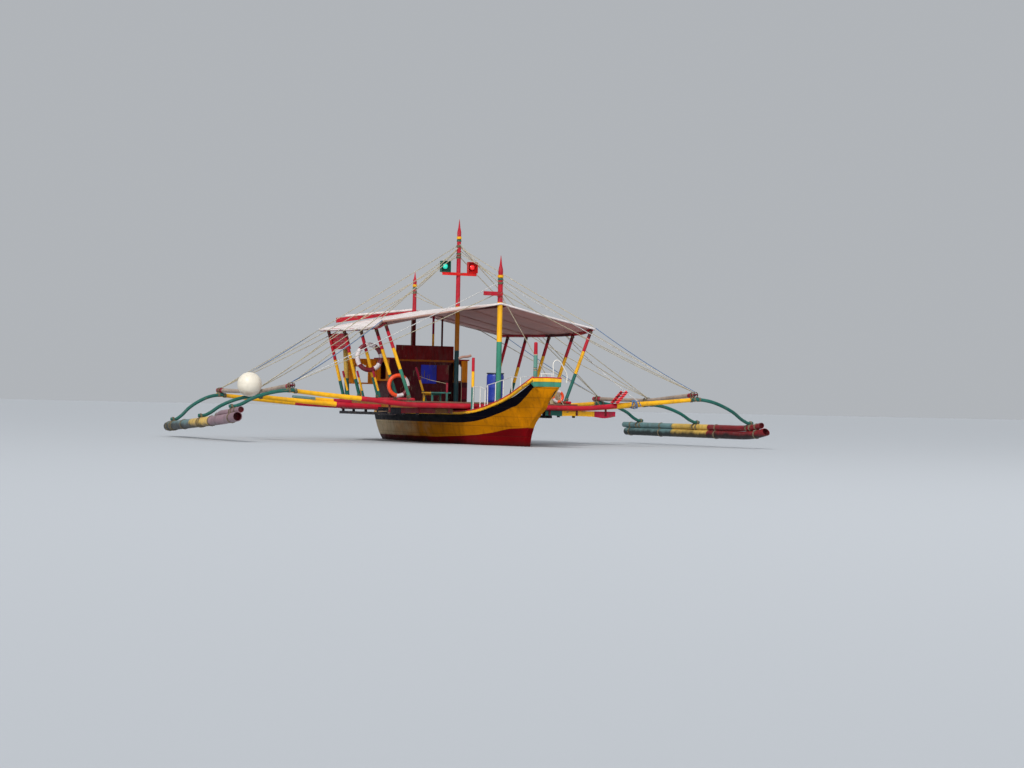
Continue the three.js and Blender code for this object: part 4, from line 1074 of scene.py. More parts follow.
# Lower edge of the boards: distance from the centreline, height
DEEP = [(1.243, 0.745), (1.5, 0.752), (1.62, 0.736), (1.9, 0.748), (2.3, 0.744), (2.6, 0.735), (2.86, 0.7),
        (3.02, 0.722), (3.18, 0.752)]
# To starboard the boards are painted dark brown, dark red and black as painted shade; to port the same boards
# show green, yellow and crimson.
for s, paints in ((-1, (linear(80, 50, 20), linear(90, 15, 25), BLACK)), (1, (DARK_GREEN, YELLOW, CRIMSON))):
    for y0, y1, paint in zip((1.243, 1.704, 2.597), (1.7, 2.593, 3.18), paints):
        line = [y0 + (y1 - y0) * i / 8 for i in range(9)]
        outline = [(s * y, read_off(DEEP, y)) for y in line] + [(s * y1, 0.874), (s * y0, 0.874)]
        slab(front_guard, outline, 2.7, 2.722, paint, "X")
    for y in (1.35, 2.1, 2.9):
        top = boom_height("front", y) - 0.05
        front_guard.box((2.722, s * y - 0.025, 0.76), (2.745, s * y + 0.025, top), WINE, "Z")
front_guard.piece("front_guards", board_paint, slot="red_board", bevel=0.003)


# Rails along the edges of the decks.
# Straight poles painted red, with a dark green band, lie on the outer ends of the boards under the posts.
RAIL_Y, RAIL_R = 2.11, 0.035
RAIL_AXIS = DECK_Z + RAIL_R + REST
for side, s in SIDES.items():
    rail = Shape()
    y = s * RAIL_Y
    rail.tube([(WING_X[0], y, RAIL_AXIS), (2.33, y, RAIL_AXIS)], RAIL_R,
              [(0, RED), (0.31, DARK_GREEN), (0.36, RED)], 16)
    rail.piece(f"edge_rail_{side}", pole_paint, slot="red_pole", replaces=f"deck_rail_{side}")


# Canopy frames.
# On each side five poles lean outwards from the deck's edge and carry the eave pole.
# They are painted in bands and lashed at both ends, and thin bare rafters run up from them to the ridge.
# Each row: x, height of the ridge, height of the eave, half width
CANOPY = [
    (-3.12, 3.44, 2.89, 2.65),
    (-2.592, 3.452, 2.888, 2.65),
    (-1.405, 3.472, 2.866, 2.655),
    (-0.075, 3.49, 2.85, 2.7),
    (1.189, 3.498, 2.862, 2.78),
    (1.7, 3.5, 2.905, 2.83),
    (2.09, 3.505, 2.985, 2.88),
]
CANOPY_T, PEAK_X, CANOPY_REAR = 0.02, 2.68, -3.12
EAVE_R, POST_R, RIDGE_R = 0.035, 0.042, 0.038
# Each post: its place, and the shares of its height where yellow starts, and red to starboard and to port
POSTS = {2.044: (0.38, 0.66, 0.69), 1.189: (0.33, 0.69, 0.65), -0.075: (0.3, 0.67, 0.68),
         -1.405: (0.27, 0.66, 0.51), -2.592: (0.24, 0.55, 0.57)}


def ridge_x(x):
    return CANOPY_REAR + (x - CANOPY_REAR) * (PEAK_X - CANOPY_REAR) / (CANOPY[-1][0] - CANOPY_REAR)


def roof(x, w):
    """A point on top of the canopy: x at the eave, and w from 0 at the ridge to 1 at the eave."""
    ridge, eave, half = (fair(CANOPY, x, column) for column in (1, 2, 3))
    return Vector((ridge_x(x) + (x - ridge_x(x)) * w, half * w, ridge - (ridge - eave) * w))


def under_roof(x, side_inset, r):
    """Where a pole of radius r lies under the canopy, at a distance in from the eave."""
    half = fair(CANOPY, x, 3)
    slope = (fair(CANOPY, x, 1) - fair(CANOPY, x, 2)) / half
    p = roof(x, 1 - side_inset / half)
    return Vector((p.x, p.y, p.z - CANOPY_T - (r + 0.001) * hypot(1, slope)))


def eave_pole(x):
    """The axis of the eave pole over the starboard or port posts."""
    return under_roof(x, 0.075, EAVE_R)


for side, s in SIDES.items():
    posts = Shape()
    eave_line = []
    for i in range(31):
        x = CANOPY_REAR + (2.078 - CANOPY_REAR) * i / 30
        p = eave_pole(x)
        eave_line.append((x, s * p.y, p.z - (0.007 if x > 1.5 else 0.0)))
    eave_line.insert(0, (-3.16, eave_line[0][1], eave_line[0][2]))
    posts.tube(eave_line, EAVE_R, [(0, RED), (0.55, WINE), (0.8, RED)], 16, step=0.5)
    # Each post's top, just under the eave pole, is wine red: painted shade over its red.
    for x, (yellow, *reds) in POSTS.items():
        top = eave_pole(x)
        posts.tube([(x, s * RAIL_Y, RAIL_AXIS + RAIL_R + 0.001), (x, s * top.y, top.z + 0.01)], POST_R,
                   [(0, GREEN if x > 1.5 and s < 0 else DARK_GREEN), (yellow, YELLOW), (reds[s > 0], RED),
                    (0.88, WINE)], 16)
    posts.piece(f"leaning_posts_{side}", pole_paint, slot="red_pole", replaces=f"canopy_frame_{side}")

runs_tree = Tree("poles_and_ropes", Radius="Float", Sides="Int", Step="Float", Sag="Float",
                 Material="Material")
t = runs_tree
line = t.node("MeshToCurve", Mesh=t.given["Start"])
line = t.node("ResampleCurve", mode="LENGTH", Curve=line, Length=t.given["Step"])
line, share = t.keep(line, t.node("SplineParameter", out="Factor"))
line, reach = t.keep(line, t.node("SplineParameter", out="Length"))
hang = t.calc("MULTIPLY", t.calc("MULTIPLY", share, t.calc("SUBTRACT", 1.0, share)), -4.0)
hang = t.calc("MULTIPLY", hang, t.calc("MULTIPLY", t.field("sag"), t.given["Sag"]))
line = t.node("SetPosition", Geometry=line, Offset=t.vector(0.0, 0.0, hang))
line = t.node("SetCurveRadius", Curve=line, Radius=t.field("thick"))
round_line = t.node("CurvePrimitiveCircle", Resolution=t.given["Sides"], Radius=t.given["Radius"])
round_line, turn = t.keep(round_line, t.node("SplineParameter", out="Factor"))
turn = t.calc("MULTIPLY", turn, 2 * pi)
tube = t.node("CurveToMesh", Curve=line, Profile_Curve=round_line, Fill_Caps=True)
grain = t.vector(t.calc("COSINE", turn), t.calc("SINE", turn), reach)
t.end(t.store(tube, "grain", grain, "FLOAT_VECTOR"))


def runs(name, lines, radius, material, sides=8, step=0.08, sag=1.0, **words):
    """Poles or ropes along lines. Each is (points, sag in metres, thickness against radius)."""
    points, edges, sags, thick = [], [], [], []
    for path, own_sag, own_thick in lines:
        start = len(points)
        points += path
        edges += [(start + i, start + i + 1) for i in range(len(path) - 1)]
        sags += [own_sag] * len(path)
        thick += [own_thick] * len(path)
    return grow(name, runs_tree, points, edges=edges, fields={"sag": sags, "thick": thick}, Radius=radius,
                Sides=sides, Step=step, Sag=sag, Material=material, **words)


f = Finish("raw_pole")
cane = f.ramp(f.noise(f.grain(3, 3, 1.2), 1.0, 5), (0.3, linear(176, 128, 120)), (0.7, linear(214, 168, 158)))
relief = f.bump(f.noise(f.grain(9, 9, 2.0), 1.0, 4), 0.002, 0.6)
raw_pole = f.wear(Base_Color=cane, Roughness=0.6, Normal=relief)

# Rafters from the ridge pole to the eave poles, over each pair of posts
rafters = []
for s in SIDES.values():
    for x in POSTS:
        line = [under_roof(x, fair(CANOPY, x, 3) * (1 - w), 0.014) for w in (0.035, 0.35, 0.65, 0.985)]
        rafters.append(([Vector((p.x, s * p.y, p.z)) for p in line], 0.0, 1.0))
runs("canopy_rafters", rafters, 0.012, raw_pole, sides=8, step=0.25, slot="red_pole")

RIDGE_Y = 0.112     # the ridge pole lies beside the masts, to port
# The ridge pole is wine red all along, a darker red that is painted shade under the cloth.
ridge = Shape()
path = [(-3.25, RIDGE_Y, under_roof(CANOPY_REAR, fair(CANOPY, CANOPY_REAR, 3) - RIDGE_Y, RIDGE_R).z)]
for i in range(25):
    x = CANOPY_REAR + i * (2.09 - CANOPY_REAR) / 24
    p = under_roof(x, fair(CANOPY, x, 3) - RIDGE_Y, RIDGE_R)
    path.append((p.x, RIDGE_Y, p.z))
ridge.tube(path, RIDGE_R, [(0, WINE)], 16, step=0.5)
ridge.piece("ridge_beam", pole_paint, slot="red_pole", replaces="ridge_pole")


# Canopy.
# One tarpaulin, sewn of long strips, is stretched from the ridge pole over both eave poles.
# It is off-white on top, and its underside is coloured mauve as painted shade, with a thick rolled hem.
def tarpaulin(name, colour, dark, grime, brown):
    """Coated cloth, woven, creased, stained and streaked. Without a colour it has what its faces carry."""
    f = Finish(name)
    colour = colour or f.paint()
    stain = f.ramp(f.spots(1.1, 7, 0.68), (0.33, dark), (0.62, 1.05))
    tone = f.mix(1.0, colour, stain, "MULTIPLY")
    streaks = f.ramp(f.noise(f.place(0.5, 4.0, 1), 1.7, 6), (0.5, 0.0), (0.78, 0.4))
    weave = f.node("TexChecker", Vector=f.place(1, 1, 1), Scale=420.0, out=1)
    folds = f.bump(f.noise(f.place(0.8, 2.4, 1), 2.4, 3), 0.012, 0.5)
    tone = f.mix(streaks, tone, grime)
    # Painted shade: the front of the starboard slope is browned, where the sagging cloth turns away from the
    # light
    forward, sideways = f.axis(0), f.axis(1)
    painted_shade_margin = f.calc("ADD", f.ramp(f.calc("MULTIPLY", forward, 0.3), (0.0, 0.0), (0.5, 0.9)),
                   f.ramp(f.spots(3.0, 4), (0.4, 0.0), (0.6, 0.15)))
    painted_shade_margin = f.calc("MULTIPLY", painted_shade_margin, f.ramp(f.calc("MULTIPLY", sideways, -1.0), (0.15, 0.0), (0.7, 1.0)))
    return f.wear(Base_Color=f.mix(painted_shade_margin, tone, brown), Roughness=0.75, Sheen_Weight=0.15,
                  Normal=f.bump(weave, 0.0003, 0.4, folds))


# A lit copy of the cloth covers the top and a shaded copy the underside: the underside's mauve, seams
# included, is painted shade.
sunlit_cloth = tarpaulin("sunlit_cloth", linear(238, 228, 226), 0.76, linear(176, 160, 148),
                         linear(156, 116, 102))
shaded_cloth = tarpaulin("shaded_cloth", None, 0.86, linear(168, 128, 124), linear(150, 110, 104))
CLOTH_UNDER, SEAM_LIGHT = linear(206, 148, 140), linear(216, 168, 158)
SEAMS, SAG, SCALLOP = (0.24, 0.48, 0.72), 0.03, 0.012


def droop(x, w):
    """How far the cloth hangs below its straight line between rafters."""
    posts = sorted([CANOPY_REAR, *POSTS, 2.09])
    bay = next((i for i in range(len(posts) - 1) if x <= posts[i + 1] + 1e-9), len(posts) - 2)
    share = (x - posts[bay]) / max(0.2, posts[bay + 1] - posts[bay])
    return sin(pi * share) ** 2 * (SAG * sin(pi * w) + SCALLOP * w)


def on_cloth(x, s, w, drop):
    p = roof(x, w)
    return Vector((p.x, s * p.y, p.z - CANOPY_T - drop - droop(x, w)))


xs = [CANOPY_REAR + (2.09 - CANOPY_REAR) * i / 64 for i in range(65)]
ws = sorted({0.0, 0.01, 0.02, 0.985, *(i / 18 for i in range(1, 19)),
             *(w + d for w in SEAMS for d in (-0.003, 0.003))})
columns = [(-1, w) for w in reversed(ws)] + [(1, w) for w in ws[1:]]
points = [on_cloth(x, s, w, -0.002) for x in xs for s, w in columns]
paints, faces, n = [], [], len(columns)
for r in range(len(xs) - 1):
    for i in range(n - 1):
        faces.append(tuple(r * n + i + step for step in (0, n, n + 1, 1)))
        middle = (columns[i][1] + columns[i + 1][1]) / 2
        paints.append(SEAM_LIGHT if any(abs(middle - w) < 0.002 for w in SEAMS) else CLOTH_UNDER)
cloth = Shape()
cloth.put(points, faces, paints, [(p.y, p.z, p.x) for p in points])
canopy = cloth.piece("canopy_sheet", [sunlit_cloth, shaded_cloth], slot="canopy_cloth", replaces="canopy",
                     smooth=70)
thick = canopy.modifiers.new("cloth", "SOLIDIFY")
thick.thickness, thick.offset, thick.material_offset = 0.003, 1.0, 1

outline = [(x, -1, 1.0) for x in xs]
outline += [(xs[-1], -1, w) for w in reversed(ws)][1:] + [(xs[-1], 1, w) for w in ws[1:]]
outline += [(x, 1, 1.0) for x in reversed(xs[:-1])] + [(xs[0], 1, w) for w in reversed(ws[:-1])]
outline += [(xs[0], -1, w) for w in ws[1:]]
hem = runs("canopy_hem", [([on_cloth(*row, 0.012) for row in outline], 0.0, 1.0)], 0.024, sunlit_cloth,
           sides=10, step=0.1, slot="canopy_cloth")


# Masts.
# Three round poles on the centreline, turned to spear heads, with painted bands.
# Under the canopy the middle and rear masts are painted darker: dark teal low down, then orange on the middle
# mast and dark red on the rear one. This is painted shade over the teal, yellow and red that the front mast
# shows in the open.
SHADED_MAST_TEAL = linear(28, 66, 72)
SHADED_MAST_YELLOW = linear(196, 120, 20)
FORE_FOOT = rail_height(2.683) - CAP_HEIGHT + REST
# Each mast: its place, radius, foot, changes of paint, the band under its head, and its tip
MASTS = {
    "front": (2.615, 0.068, FORE_FOOT, [(2.533, YELLOW), (3.505, RED)], 4.13, 4.657),
    "middle": (-0.05, 0.061, ON_DECK, [(2.351, SHADED_MAST_YELLOW), (3.491, RED)], 5.22, 5.71),
    "rear": (-3.015, 0.056, ON_DECK, [(2.4, linear(104, 14, 10)), (3.41, RED)], 4.107, 4.496),
}


def mast_radius(z, r, foot, tip):
    """Radius of a mast, which thins a little up to the canopy and more above it."""
    low = r * (1.0 - 0.05 * min(1, (z - foot) / (3.5 - foot)))
    return low if z < 3.5 else low * (1 - 0.14 * (z - 3.5) / (tip - 3.5))


for mast, (x, r, foot, changes, band, tip) in MASTS.items():
    first = GREEN if mast == "front" else SHADED_MAST_TEAL
    levels = [foot + i * (band - foot) / 30 for i in range(1, 30)] + [z for z, _ in changes]
    levels = [foot] + sorted(levels)
    rows = [(mast_radius(z, r, foot, tip), z) for z in levels]
    paints = [([first] + [c for level, c in changes if z >= level - 1e-6])[-1] for z in levels]
    neck = mast_radius(band, r, foot, tip)
    head = [(neck, band - 0.085, RED), (neck * 1.16, band - 0.08, DARK_GREEN),
            (neck * 1.16, band - 0.045, CREAM), (neck * 0.98, band - 0.04, BLACK),
            (neck * 0.98, band - 0.02, YELLOW), (neck * 1.22, band - 0.012, YELLOW),
            (neck * 1.22, band + 0.046, RED), (neck * 0.94, band + 0.054, RED),
            (neck * 1.04, band + 0.1, RED), (neck * 0.98, band + 0.17, RED),
            (neck * 0.55, band + 0.55 * (tip - band), RED), (neck * 0.1, tip - 0.006, RED),
            (0.002, tip, RED)]
    rows += [(radius, z) for radius, z, _ in head]
    paints += [paint for _, _, paint in head]
    pole = Shape()
    turned(pole, rows, x, 0, paints[:-1], 24)
    pole.piece(f"{mast}_mast", pole_paint, slot="red_pole", replaces=f"mast_{mast}", smooth=38)

# A red board fixed across the front mast, to starboard
mast_board = Shape()
mast_board.box((2.6815, -0.48, 3.66), (2.7065, 0.03, 3.76), RED, "Y")
mast_board.piece("mast_board", board_paint, slot="red_board", bevel=0.004)


# Crossbar and sidelights.
# A red board on the middle mast carries an open box at each end, green to starboard, red to port.
BRIGHT_RED, LAMP_GREEN = linear(214, 24, 20), linear(18, 84, 70)
bar = Shape()
bar.box((0.0135, -0.475, 4.267), (0.03, 0.475, 4.343), BRIGHT_RED, "Y")
for s in (-1, 1):
    bar.box((-0.03, s * 0.42 - 0.02, 4.285), (0.012, s * 0.42 + 0.02, 4.3425), BRIGHT_RED, "X")
bar.box((-0.03, -0.475, 4.327), (0.0134, 0.475, 4.343), BRIGHT_RED, "Y")
bar.piece("lamp_bar", board_paint, slot="red_board", replaces="mast_crossbar", bevel=0.004)

lamp_paint = painted("lamp_paint", dirt=0.3, chips=0.4, gloss=0.28)
for side, s, tone, glass in (("starboard", -1, LAMP_GREEN, (0.03, 0.75, 0.55)),
                             ("port", 1, BRIGHT_RED, (0.9, 0.02, 0.02))):
    case = Shape()
    y0, y1, z0, z1, wall = s * 0.375 - 0.13, s * 0.375 + 0.13, 4.3433, 4.628, 0.012
    case.box((-0.08, y0, z0), (-0.068, y1, z1), tone, "Y")
    case.box((-0.068, y0, z0), (0.04, y0 + wall, z1), tone)
    case.box((-0.068, y1 - wall, z0), (0.04, y1, z1), tone)
    case.box((-0.068, y0 + wall, z0), (0.04, y1 - wall, z0 + wall), tone)
    case.box((-0.068, y0 + wall, z1 - wall), (0.04, y1 - wall, z1), tone)
    centre = Vector((-0.068, s * 0.375, 4.493))
    rings = [[centre + Vector((x, r * cos(a), r * sin(a))) for a in turns(28)]
             for r, x in ((0.085, 0.0), (0.085, 0.022), (0.072, 0.03))]
    case.rings(rings, BLACK, (True, False))
    case.piece(f"lamp_case_{side}", lamp_paint, slot="lamp_green" if s < 0 else "lamp_red",
               replaces=f"lamp_box_{side}", bevel=0.003)
    # The lenses are given a faint glow, which is painted light that makes their colour bright.
    f = Finish(f"lens_{side}")
    ribs = f.node("TexWave", Vector=f.place(1, 1, 1), Scale=38.0, bands_direction="Z", out=1)
    glow = f.wear(Base_Color=glass, Roughness=0.12, Normal=f.bump(ribs, 0.001, 0.6), Emission_Color=glass,
                  Emission_Strength=0.35, Coat_Weight=0.6)
    lens = Shape()
    rings = []
    for bulge in (0.0, 0.25, 0.5, 0.8, 1.1, 1.35, 1.5):
        r, x = 0.072 * cos(bulge), 0.03 + 0.045 * sin(bulge)
        rings.append([centre + Vector((x, r * cos(a), r * sin(a))) for a in turns(28)])
    lens.rings(rings, glass, (True, True))
    lens.piece(f"lens_{side}", glow, slot="lamp_green" if s < 0 else "lamp_red", smooth=60)


# Cabin.
# A low house of upright boards on the deck's rear end, nailed to posts, with a high wine red fascia.
# Its front has a blue panel, an arched doorway and orange boards, and its sides have arched openings.
ORANGE, BLUE_PANEL, MAROON = linear(250, 150, 14), linear(48, 60, 206), linear(84, 4, 22)
CAB_FRONT, CAB_REAR, CAB_HALF, CAB_TOP, CAB_WALL = -1.9, -2.87, 1.11, 2.129, 0.03
FASCIA_TOP = 2.5


def boarded(shape, axis, at, wall, lo, hi, z0, z1, paint, holes=(), pitch=0.11):
    """Upright boards side by side from lo to hi, with openings (low, high, bottom, top, arched)."""
    count = max(1, round((hi - lo) / pitch))
    for k in range(count):
        a, b = lo + k * (hi - lo) / count, lo + (k + 1) * (hi - lo) / count - 0.003
        spans = [(z0, z1)]
        for h0, h1, hz0, hz1, arched in holes:
            middle = (a + b) / 2
            if h0 < middle < h1:
                top = hz1
                if arched:
                    r = (h1 - h0) / 2
                    top = hz1 - r + sqrt(max(0.0, r * r - (middle - (h0 + h1) / 2) ** 2))
                cuts = [((low, min(high, hz0)), (max(low, top), high)) for low, high in spans]
                spans = [(low, high) for pair in cuts for low, high in pair if high - low > 0.02]
        for low, high in spans:
            thin = random.uniform(0.0, 0.002)
            if axis == "X":
                shape.box((at + thin, a, low), (at + wall - 0.002 + thin, b, high), paint, "Z")
            else:
                shape.box((a, at + thin, low), (b, at + wall - 0.002 + thin, high), paint, "Z")


front = Shape()
at = CAB_FRONT - CAB_WALL
for y0, y1, z0, z1, paint in (
    (-CAB_HALF, 0.567, ON_DECK, CAB_TOP, MAROON), (0.93, CAB_HALF, ON_DECK, 1.107, MAROON),
    (0.93, CAB_HALF, 1.109, 1.42, linear(136, 14, 38)), (0.93, CAB_HALF, 1.422, 1.557, MAROON),
    (0.93, CAB_HALF, 1.559, CAB_TOP, ORANGE), (-0.93, 0.7, 2.1315, FASCIA_TOP, linear(116, 0, 4)),
):
    boarded(front, "X", at, CAB_WALL, y0, y1, z0, z1, paint)
boarded(front, "X", at, CAB_WALL, 0.567, 0.93, 1.88, CAB_TOP, MAROON, [(0.57, 0.93, 1.0, 2.08, True)],
        pitch=0.03)
for y0, y1, z0, z1, paint in ((-0.9, 0.7, 2.078, 2.129, linear(170, 92, 10)),
                              (-0.226, 0.211, 1.507, 1.994, BLUE_PANEL),
                              (0.23, 0.562, 1.6, 2.0, linear(126, 12, 34)),
                              (0.93, 0.944, 1.042, 1.96, CREAM)):
    front.box((CAB_FRONT, y0, z0), (CAB_FRONT + 0.012, y1, z1), paint, "Z")
front.piece("front_wall", board_paint, slot="wine_paint", replaces="cabin_front", bevel=0.002)
rear = Shape()
boarded(rear, "X", CAB_REAR, CAB_WALL, -CAB_HALF, CAB_HALF, ON_DECK, CAB_TOP, MAROON,
        [(-0.3, 0.3, 1.0, 2.04, False)], pitch=0.074)
# An arched screen of orange boards stands out from the rear wall, on two legs
boarded(rear, "X", CAB_REAR, CAB_WALL, -1.98, -1.113, 1.46, 2.129, ORANGE, [(-1.7, -1.36, 1.5, 1.98, True)],
        pitch=0.058)
for y in (-1.96, -1.54):
    rear.box((-2.848, y - 0.02, ON_DECK), (-2.813, y + 0.02, 1.49), YELLOW, "Z")
rear.piece("rear_wall", board_paint, slot="wine_paint", replaces="cabin_rear", bevel=0.002)
for side, s in SIDES.items():
    wall = Shape()
    at, ends = CAB_HALF - CAB_WALL if s > 0 else -CAB_HALF, (CAB_REAR + 0.031, CAB_FRONT - 0.031)
    boarded(wall, "Y", at, CAB_WALL, *ends, ON_DECK, 1.548, MAROON)
    boarded(wall, "Y", at, CAB_WALL, *ends, 1.55, CAB_TOP, ORANGE, [(-2.62, -2.15, 1.6, 2.06, True)],
            pitch=0.06)
    wall.piece(f"side_wall_{side}", board_paint, slot="wine_paint", replaces=f"cabin_side_{side}",
               bevel=0.002)
lid = Shape()
for k in range(9):
    top = 2.164 - random.uniform(0, 0.002)
    lid.box((-2.9, -1.17 + k * 0.26, 2.1303), (-1.932, -0.913 + k * 0.26, top), RED)
lid.piece("cabin_lid", board_paint, slot="red_board", replaces="cabin_roof", bevel=0.003)
props = Shape()
for y, r, foot, head in ((-0.275, 0.012, CREAM, CREAM), (0.35, 0.03, YELLOW, CRIMSON),
                         (0.605, 0.026, WINE, WINE)):
    top = under_roof(-2.5, fair(CANOPY, -2.5, 3) - abs(y), 0.0).z - 0.006
    props.tube([(-2.5, y, 2.165), (-2.5, y, top)], r, [(0, foot), (0.56, head)], 14)
props.piece("roof_props", pole_paint, slot="yellow_paint")


# Timber over the canopy's rear edge, with a tarpaulin rolled up on it.
# Two sawn planks meet at the ridge, notched over the rear mast, and the roll is tied along them.
beam = Shape()
for s in (-1, 1):
    corners = [(2.15, 3.06), (0.24, 3.3657), (0.002, 3.3657), (0.002, 3.45), (2.15, 3.19)]
    slab(beam, [(s * y, z) for y, z in corners], -3.195, -3.135, RED, "X")
beam.piece("tarp_beam", board_paint, slot="red_board", replaces="awning_beam", bevel=0.006)
tarp_roll = []
for s, reach in ((-1, 1.9), (1, 0.35)):
    line = [Vector((-3.165, s * reach * i / 8, 3.477 - 0.121 * reach * i / 8)) for i in range(9)]
    tarp_roll.append((line, 0.0, 1.0))
roll = runs("rolled_tarp", tarp_roll, 0.03, sunlit_cloth, sides=12, step=0.12, slot="canopy_cloth")


# Red boards between the rear posts on the starboard side, and short stubs and a pole on the rail.
# The boards are nailed inside the leaning posts, and the stubs are lashed to the deck rail.
side_boards = Shape()


def leaning(x, z):
    """How far to starboard the leaning posts stand at a height."""
    top, foot = eave_pole(x), Vector((x, RAIL_Y, RAIL_AXIS))
    return -(foot.y + (top.y - foot.y) * (z - foot.z) / (top.z - foot.z))


for k in range(4):
    z0 = 2.345 + k * 0.101
    y0, y1 = leaning(-1.9, z0) + 0.052, leaning(-1.9, z0 + 0.098) + 0.052
    edge = [(y0, z0), (y1, z0 + 0.098), (y1 + 0.018, z0 + 0.098), (y0 + 0.018, z0)]
    for ends in ((-2.68, -2.04), (-2.036, -1.39)):
        grains = [(y, z, x) for x in ends for y, z in edge]
        side_boards.rings([[Vector((x, y, z)) for y, z in edge] for x in ends], RED, grains=grains)
side_boards.piece("side_boards", board_paint, slot="red_board", bevel=0.003)

stubs = Shape()
for x in (-2.182, -1.119, 0.06):
    stubs.tube([(x, -2.11, RAIL_AXIS + RAIL_R), (x, leaning(x, 1.78), 1.78)], 0.028,
               [(0, DARK_GREEN), (0.25, YELLOW), (0.75, CRIMSON)], 14)
stubs.tube([(-2.5, -2.04, DECK_Z + 0.001), (-2.46, -2.14, 2.37)], 0.06,
           [(0, DARK_GREEN), (0.42, PALE_YELLOW)], 18)
# A spare pole lies on the starboard middle boom
spare = [(0.1, y, boom_height("middle", y) + 0.082) for y in (-4.45, -3.86, -3.39, -2.9)]
stubs.tube(spare, lambda t: 0.045 + 0.01 * t, [(0, GREY_GREEN), (0.38, YELLOW), (0.69, CRIMSON)], 16)
stubs.piece("rail_stubs", pole_paint, slot="yellow_paint")


# Drum.
# A blue plastic barrel with rolling hoops and a dark lid under a clamp ring.
f = Finish("drum_plastic")
base = f.paint()
scuffs = f.ramp(f.noise(f.place(14, 14, 40), 1.0, 6, 0.7), (0.56, 0.0), (0.72, 0.45))
tone = f.mix(scuffs, f.mix(1.0, base, f.ramp(f.spots(3.0, 4), (0.3, 0.8), (0.7, 1.1)), "MULTIPLY"),
             linear(120, 132, 176))
drum_plastic = f.wear(Base_Color=tone, Roughness=f.ramp(f.spots(12.0, 4), (0.3, 0.28), (0.7, 0.5)),
                      Normal=f.bump(scuffs, 0.0006, 0.5))
DRUM_BLUE, DRUM_DARK = linear(30, 58, 168), linear(22, 26, 52)
drum = Shape()
rows = [(0.185, 0.0), (0.206, 0.012), (0.212, 0.04), (0.218, 0.06), (0.212, 0.08), (0.213, 0.22),
        (0.213, 0.34), (0.218, 0.362), (0.218, 0.376), (0.212, 0.396), (0.213, 0.52), (0.212, 0.64),
        (0.206, 0.672), (0.196, 0.69), (0.196, 0.7), (0.216, 0.702), (0.218, 0.716), (0.214, 0.732),
        (0.19, 0.733), (0.186, 0.712), (0.02, 0.71)]
turned(drum, [(r, ON_DECK + z) for r, z in rows], 2.29, 0.06, [DRUM_BLUE] * 14 + [DRUM_DARK] * 6, 40)
for s in (-1, 1):
    drum.tube([(2.29, 0.06 + s * 0.11, DECK_Z + 0.711), (2.29, 0.06 + s * 0.11, DECK_Z + 0.726)], 0.03,
              [(0, DRUM_DARK)], 16)
drum.piece("deck_drum", drum_plastic, slot="drum_plastic", replaces="drum", smooth=50)


# Bench with its end posts.
# A plank seat on two trestles and a leg, half yellow and half green, with posts that carry a line.
BENCH_GREEN = linear(60, 120, 112)
bench = Shape()
for y in (-1.35, -1.249, -1.148):
    bench.box((0.95, y, 1.235), (1.548, y + 0.098, 1.27), YELLOW)
    bench.box((1.551, y, 1.235), (2.125, y + 0.098, 1.27), BENCH_GREEN)
for x, paint in ((1.01, YELLOW), (1.55, BENCH_GREEN)):
    for y in (-1.31, -1.09):
        bench.box((x - 0.022, y - 0.02, ON_DECK), (x + 0.022, y + 0.02, 1.2348), paint, "Z")
    bench.box((x - 0.02, -1.33, 1.19), (x + 0.02, -1.07, 1.2347), paint, "Y")
bench.box((2.127, -1.191, ON_DECK), (2.162, -1.147, 1.262), BENCH_GREEN, "Z")
bench.box((2.127, -1.191, 1.263), (2.162, -1.147, 1.498), CRIMSON, "Z")
bench.piece("plank_bench", board_paint, slot="yellow_paint", replaces="bench", bevel=0.004)
ends = Shape()
ends.tube([(0.7, -1.127, ON_DECK), (0.7, -1.416, 1.885)], 0.028,
          [(0, DARK_GREEN), (0.3, YELLOW), (0.62, CRIMSON)], 14)
ends.tube([(0.7, -1.33, 1.66), (1.42, -1.3, 1.56), (2.145, -1.18, 1.48)], 0.005, [(0, CREAM)], 8)
ends.piece("bench_pole", pole_paint, slot="red_pole")


# Bow bitt and gunwale post.
# Two painted posts, one on the foredeck and one on the starboard gunwale with a rolled cloth on it.
bitt = Shape()
foot = rail_height(4.815) - CAP_HEIGHT + REST
BITT_GREEN = linear(104, 156, 142)
rows = [(0.05, foot, BITT_GREEN), (0.049, 1.815, CREAM), (0.049, 1.825, WINE), (0.049, 1.84, BITT_GREEN),
        (0.049, 1.86, CREAM), (0.049, 1.872, WINE), (0.048, 1.888, BITT_GREEN), (0.046, 2.185, CREAM),
        (0.046, 2.205, RED), (0.044, 2.4, RED), (0.043, 2.462, RED), (0.038, 2.482, RED),
        (0.028, 2.495, RED)]
turned(bitt, [(r, z) for r, z, _ in rows], 4.765, 0, [c for _, _, c in rows][:-1], 20)
bitt.piece("bitt_post", pole_paint, slot="green_paint", replaces="bow_bitt", smooth=40)

gpost = Shape()
gy = -(rail_half(2.99) - 0.026)
foot = rail_height(3.028) + REST
rows = [(0.038, foot), (0.0375, 1.398), (0.037, 1.782), (0.0365, 1.95), (0.036, 2.1), (0.032, 2.116),
        (0.022, 2.12)]
turned(gpost, rows, 2.99, gy, [BENCH_GREEN, YELLOW] + [RED] * 4, 20)
gpost.piece("rail_post", pole_paint, slot="red_pole", replaces="gunwale_post", smooth=40)
line = [Vector((2.99, -1.224 + 0.315 * i / 6, 2.091 + 0.083 * i / 6 + 0.012 * sin(i))) for i in range(7)]
bundle = runs("post_cloth", [(line, 0.0, 1.0)], 0.032, sunlit_cloth, sides=10, step=0.05, slot="canopy_cloth")


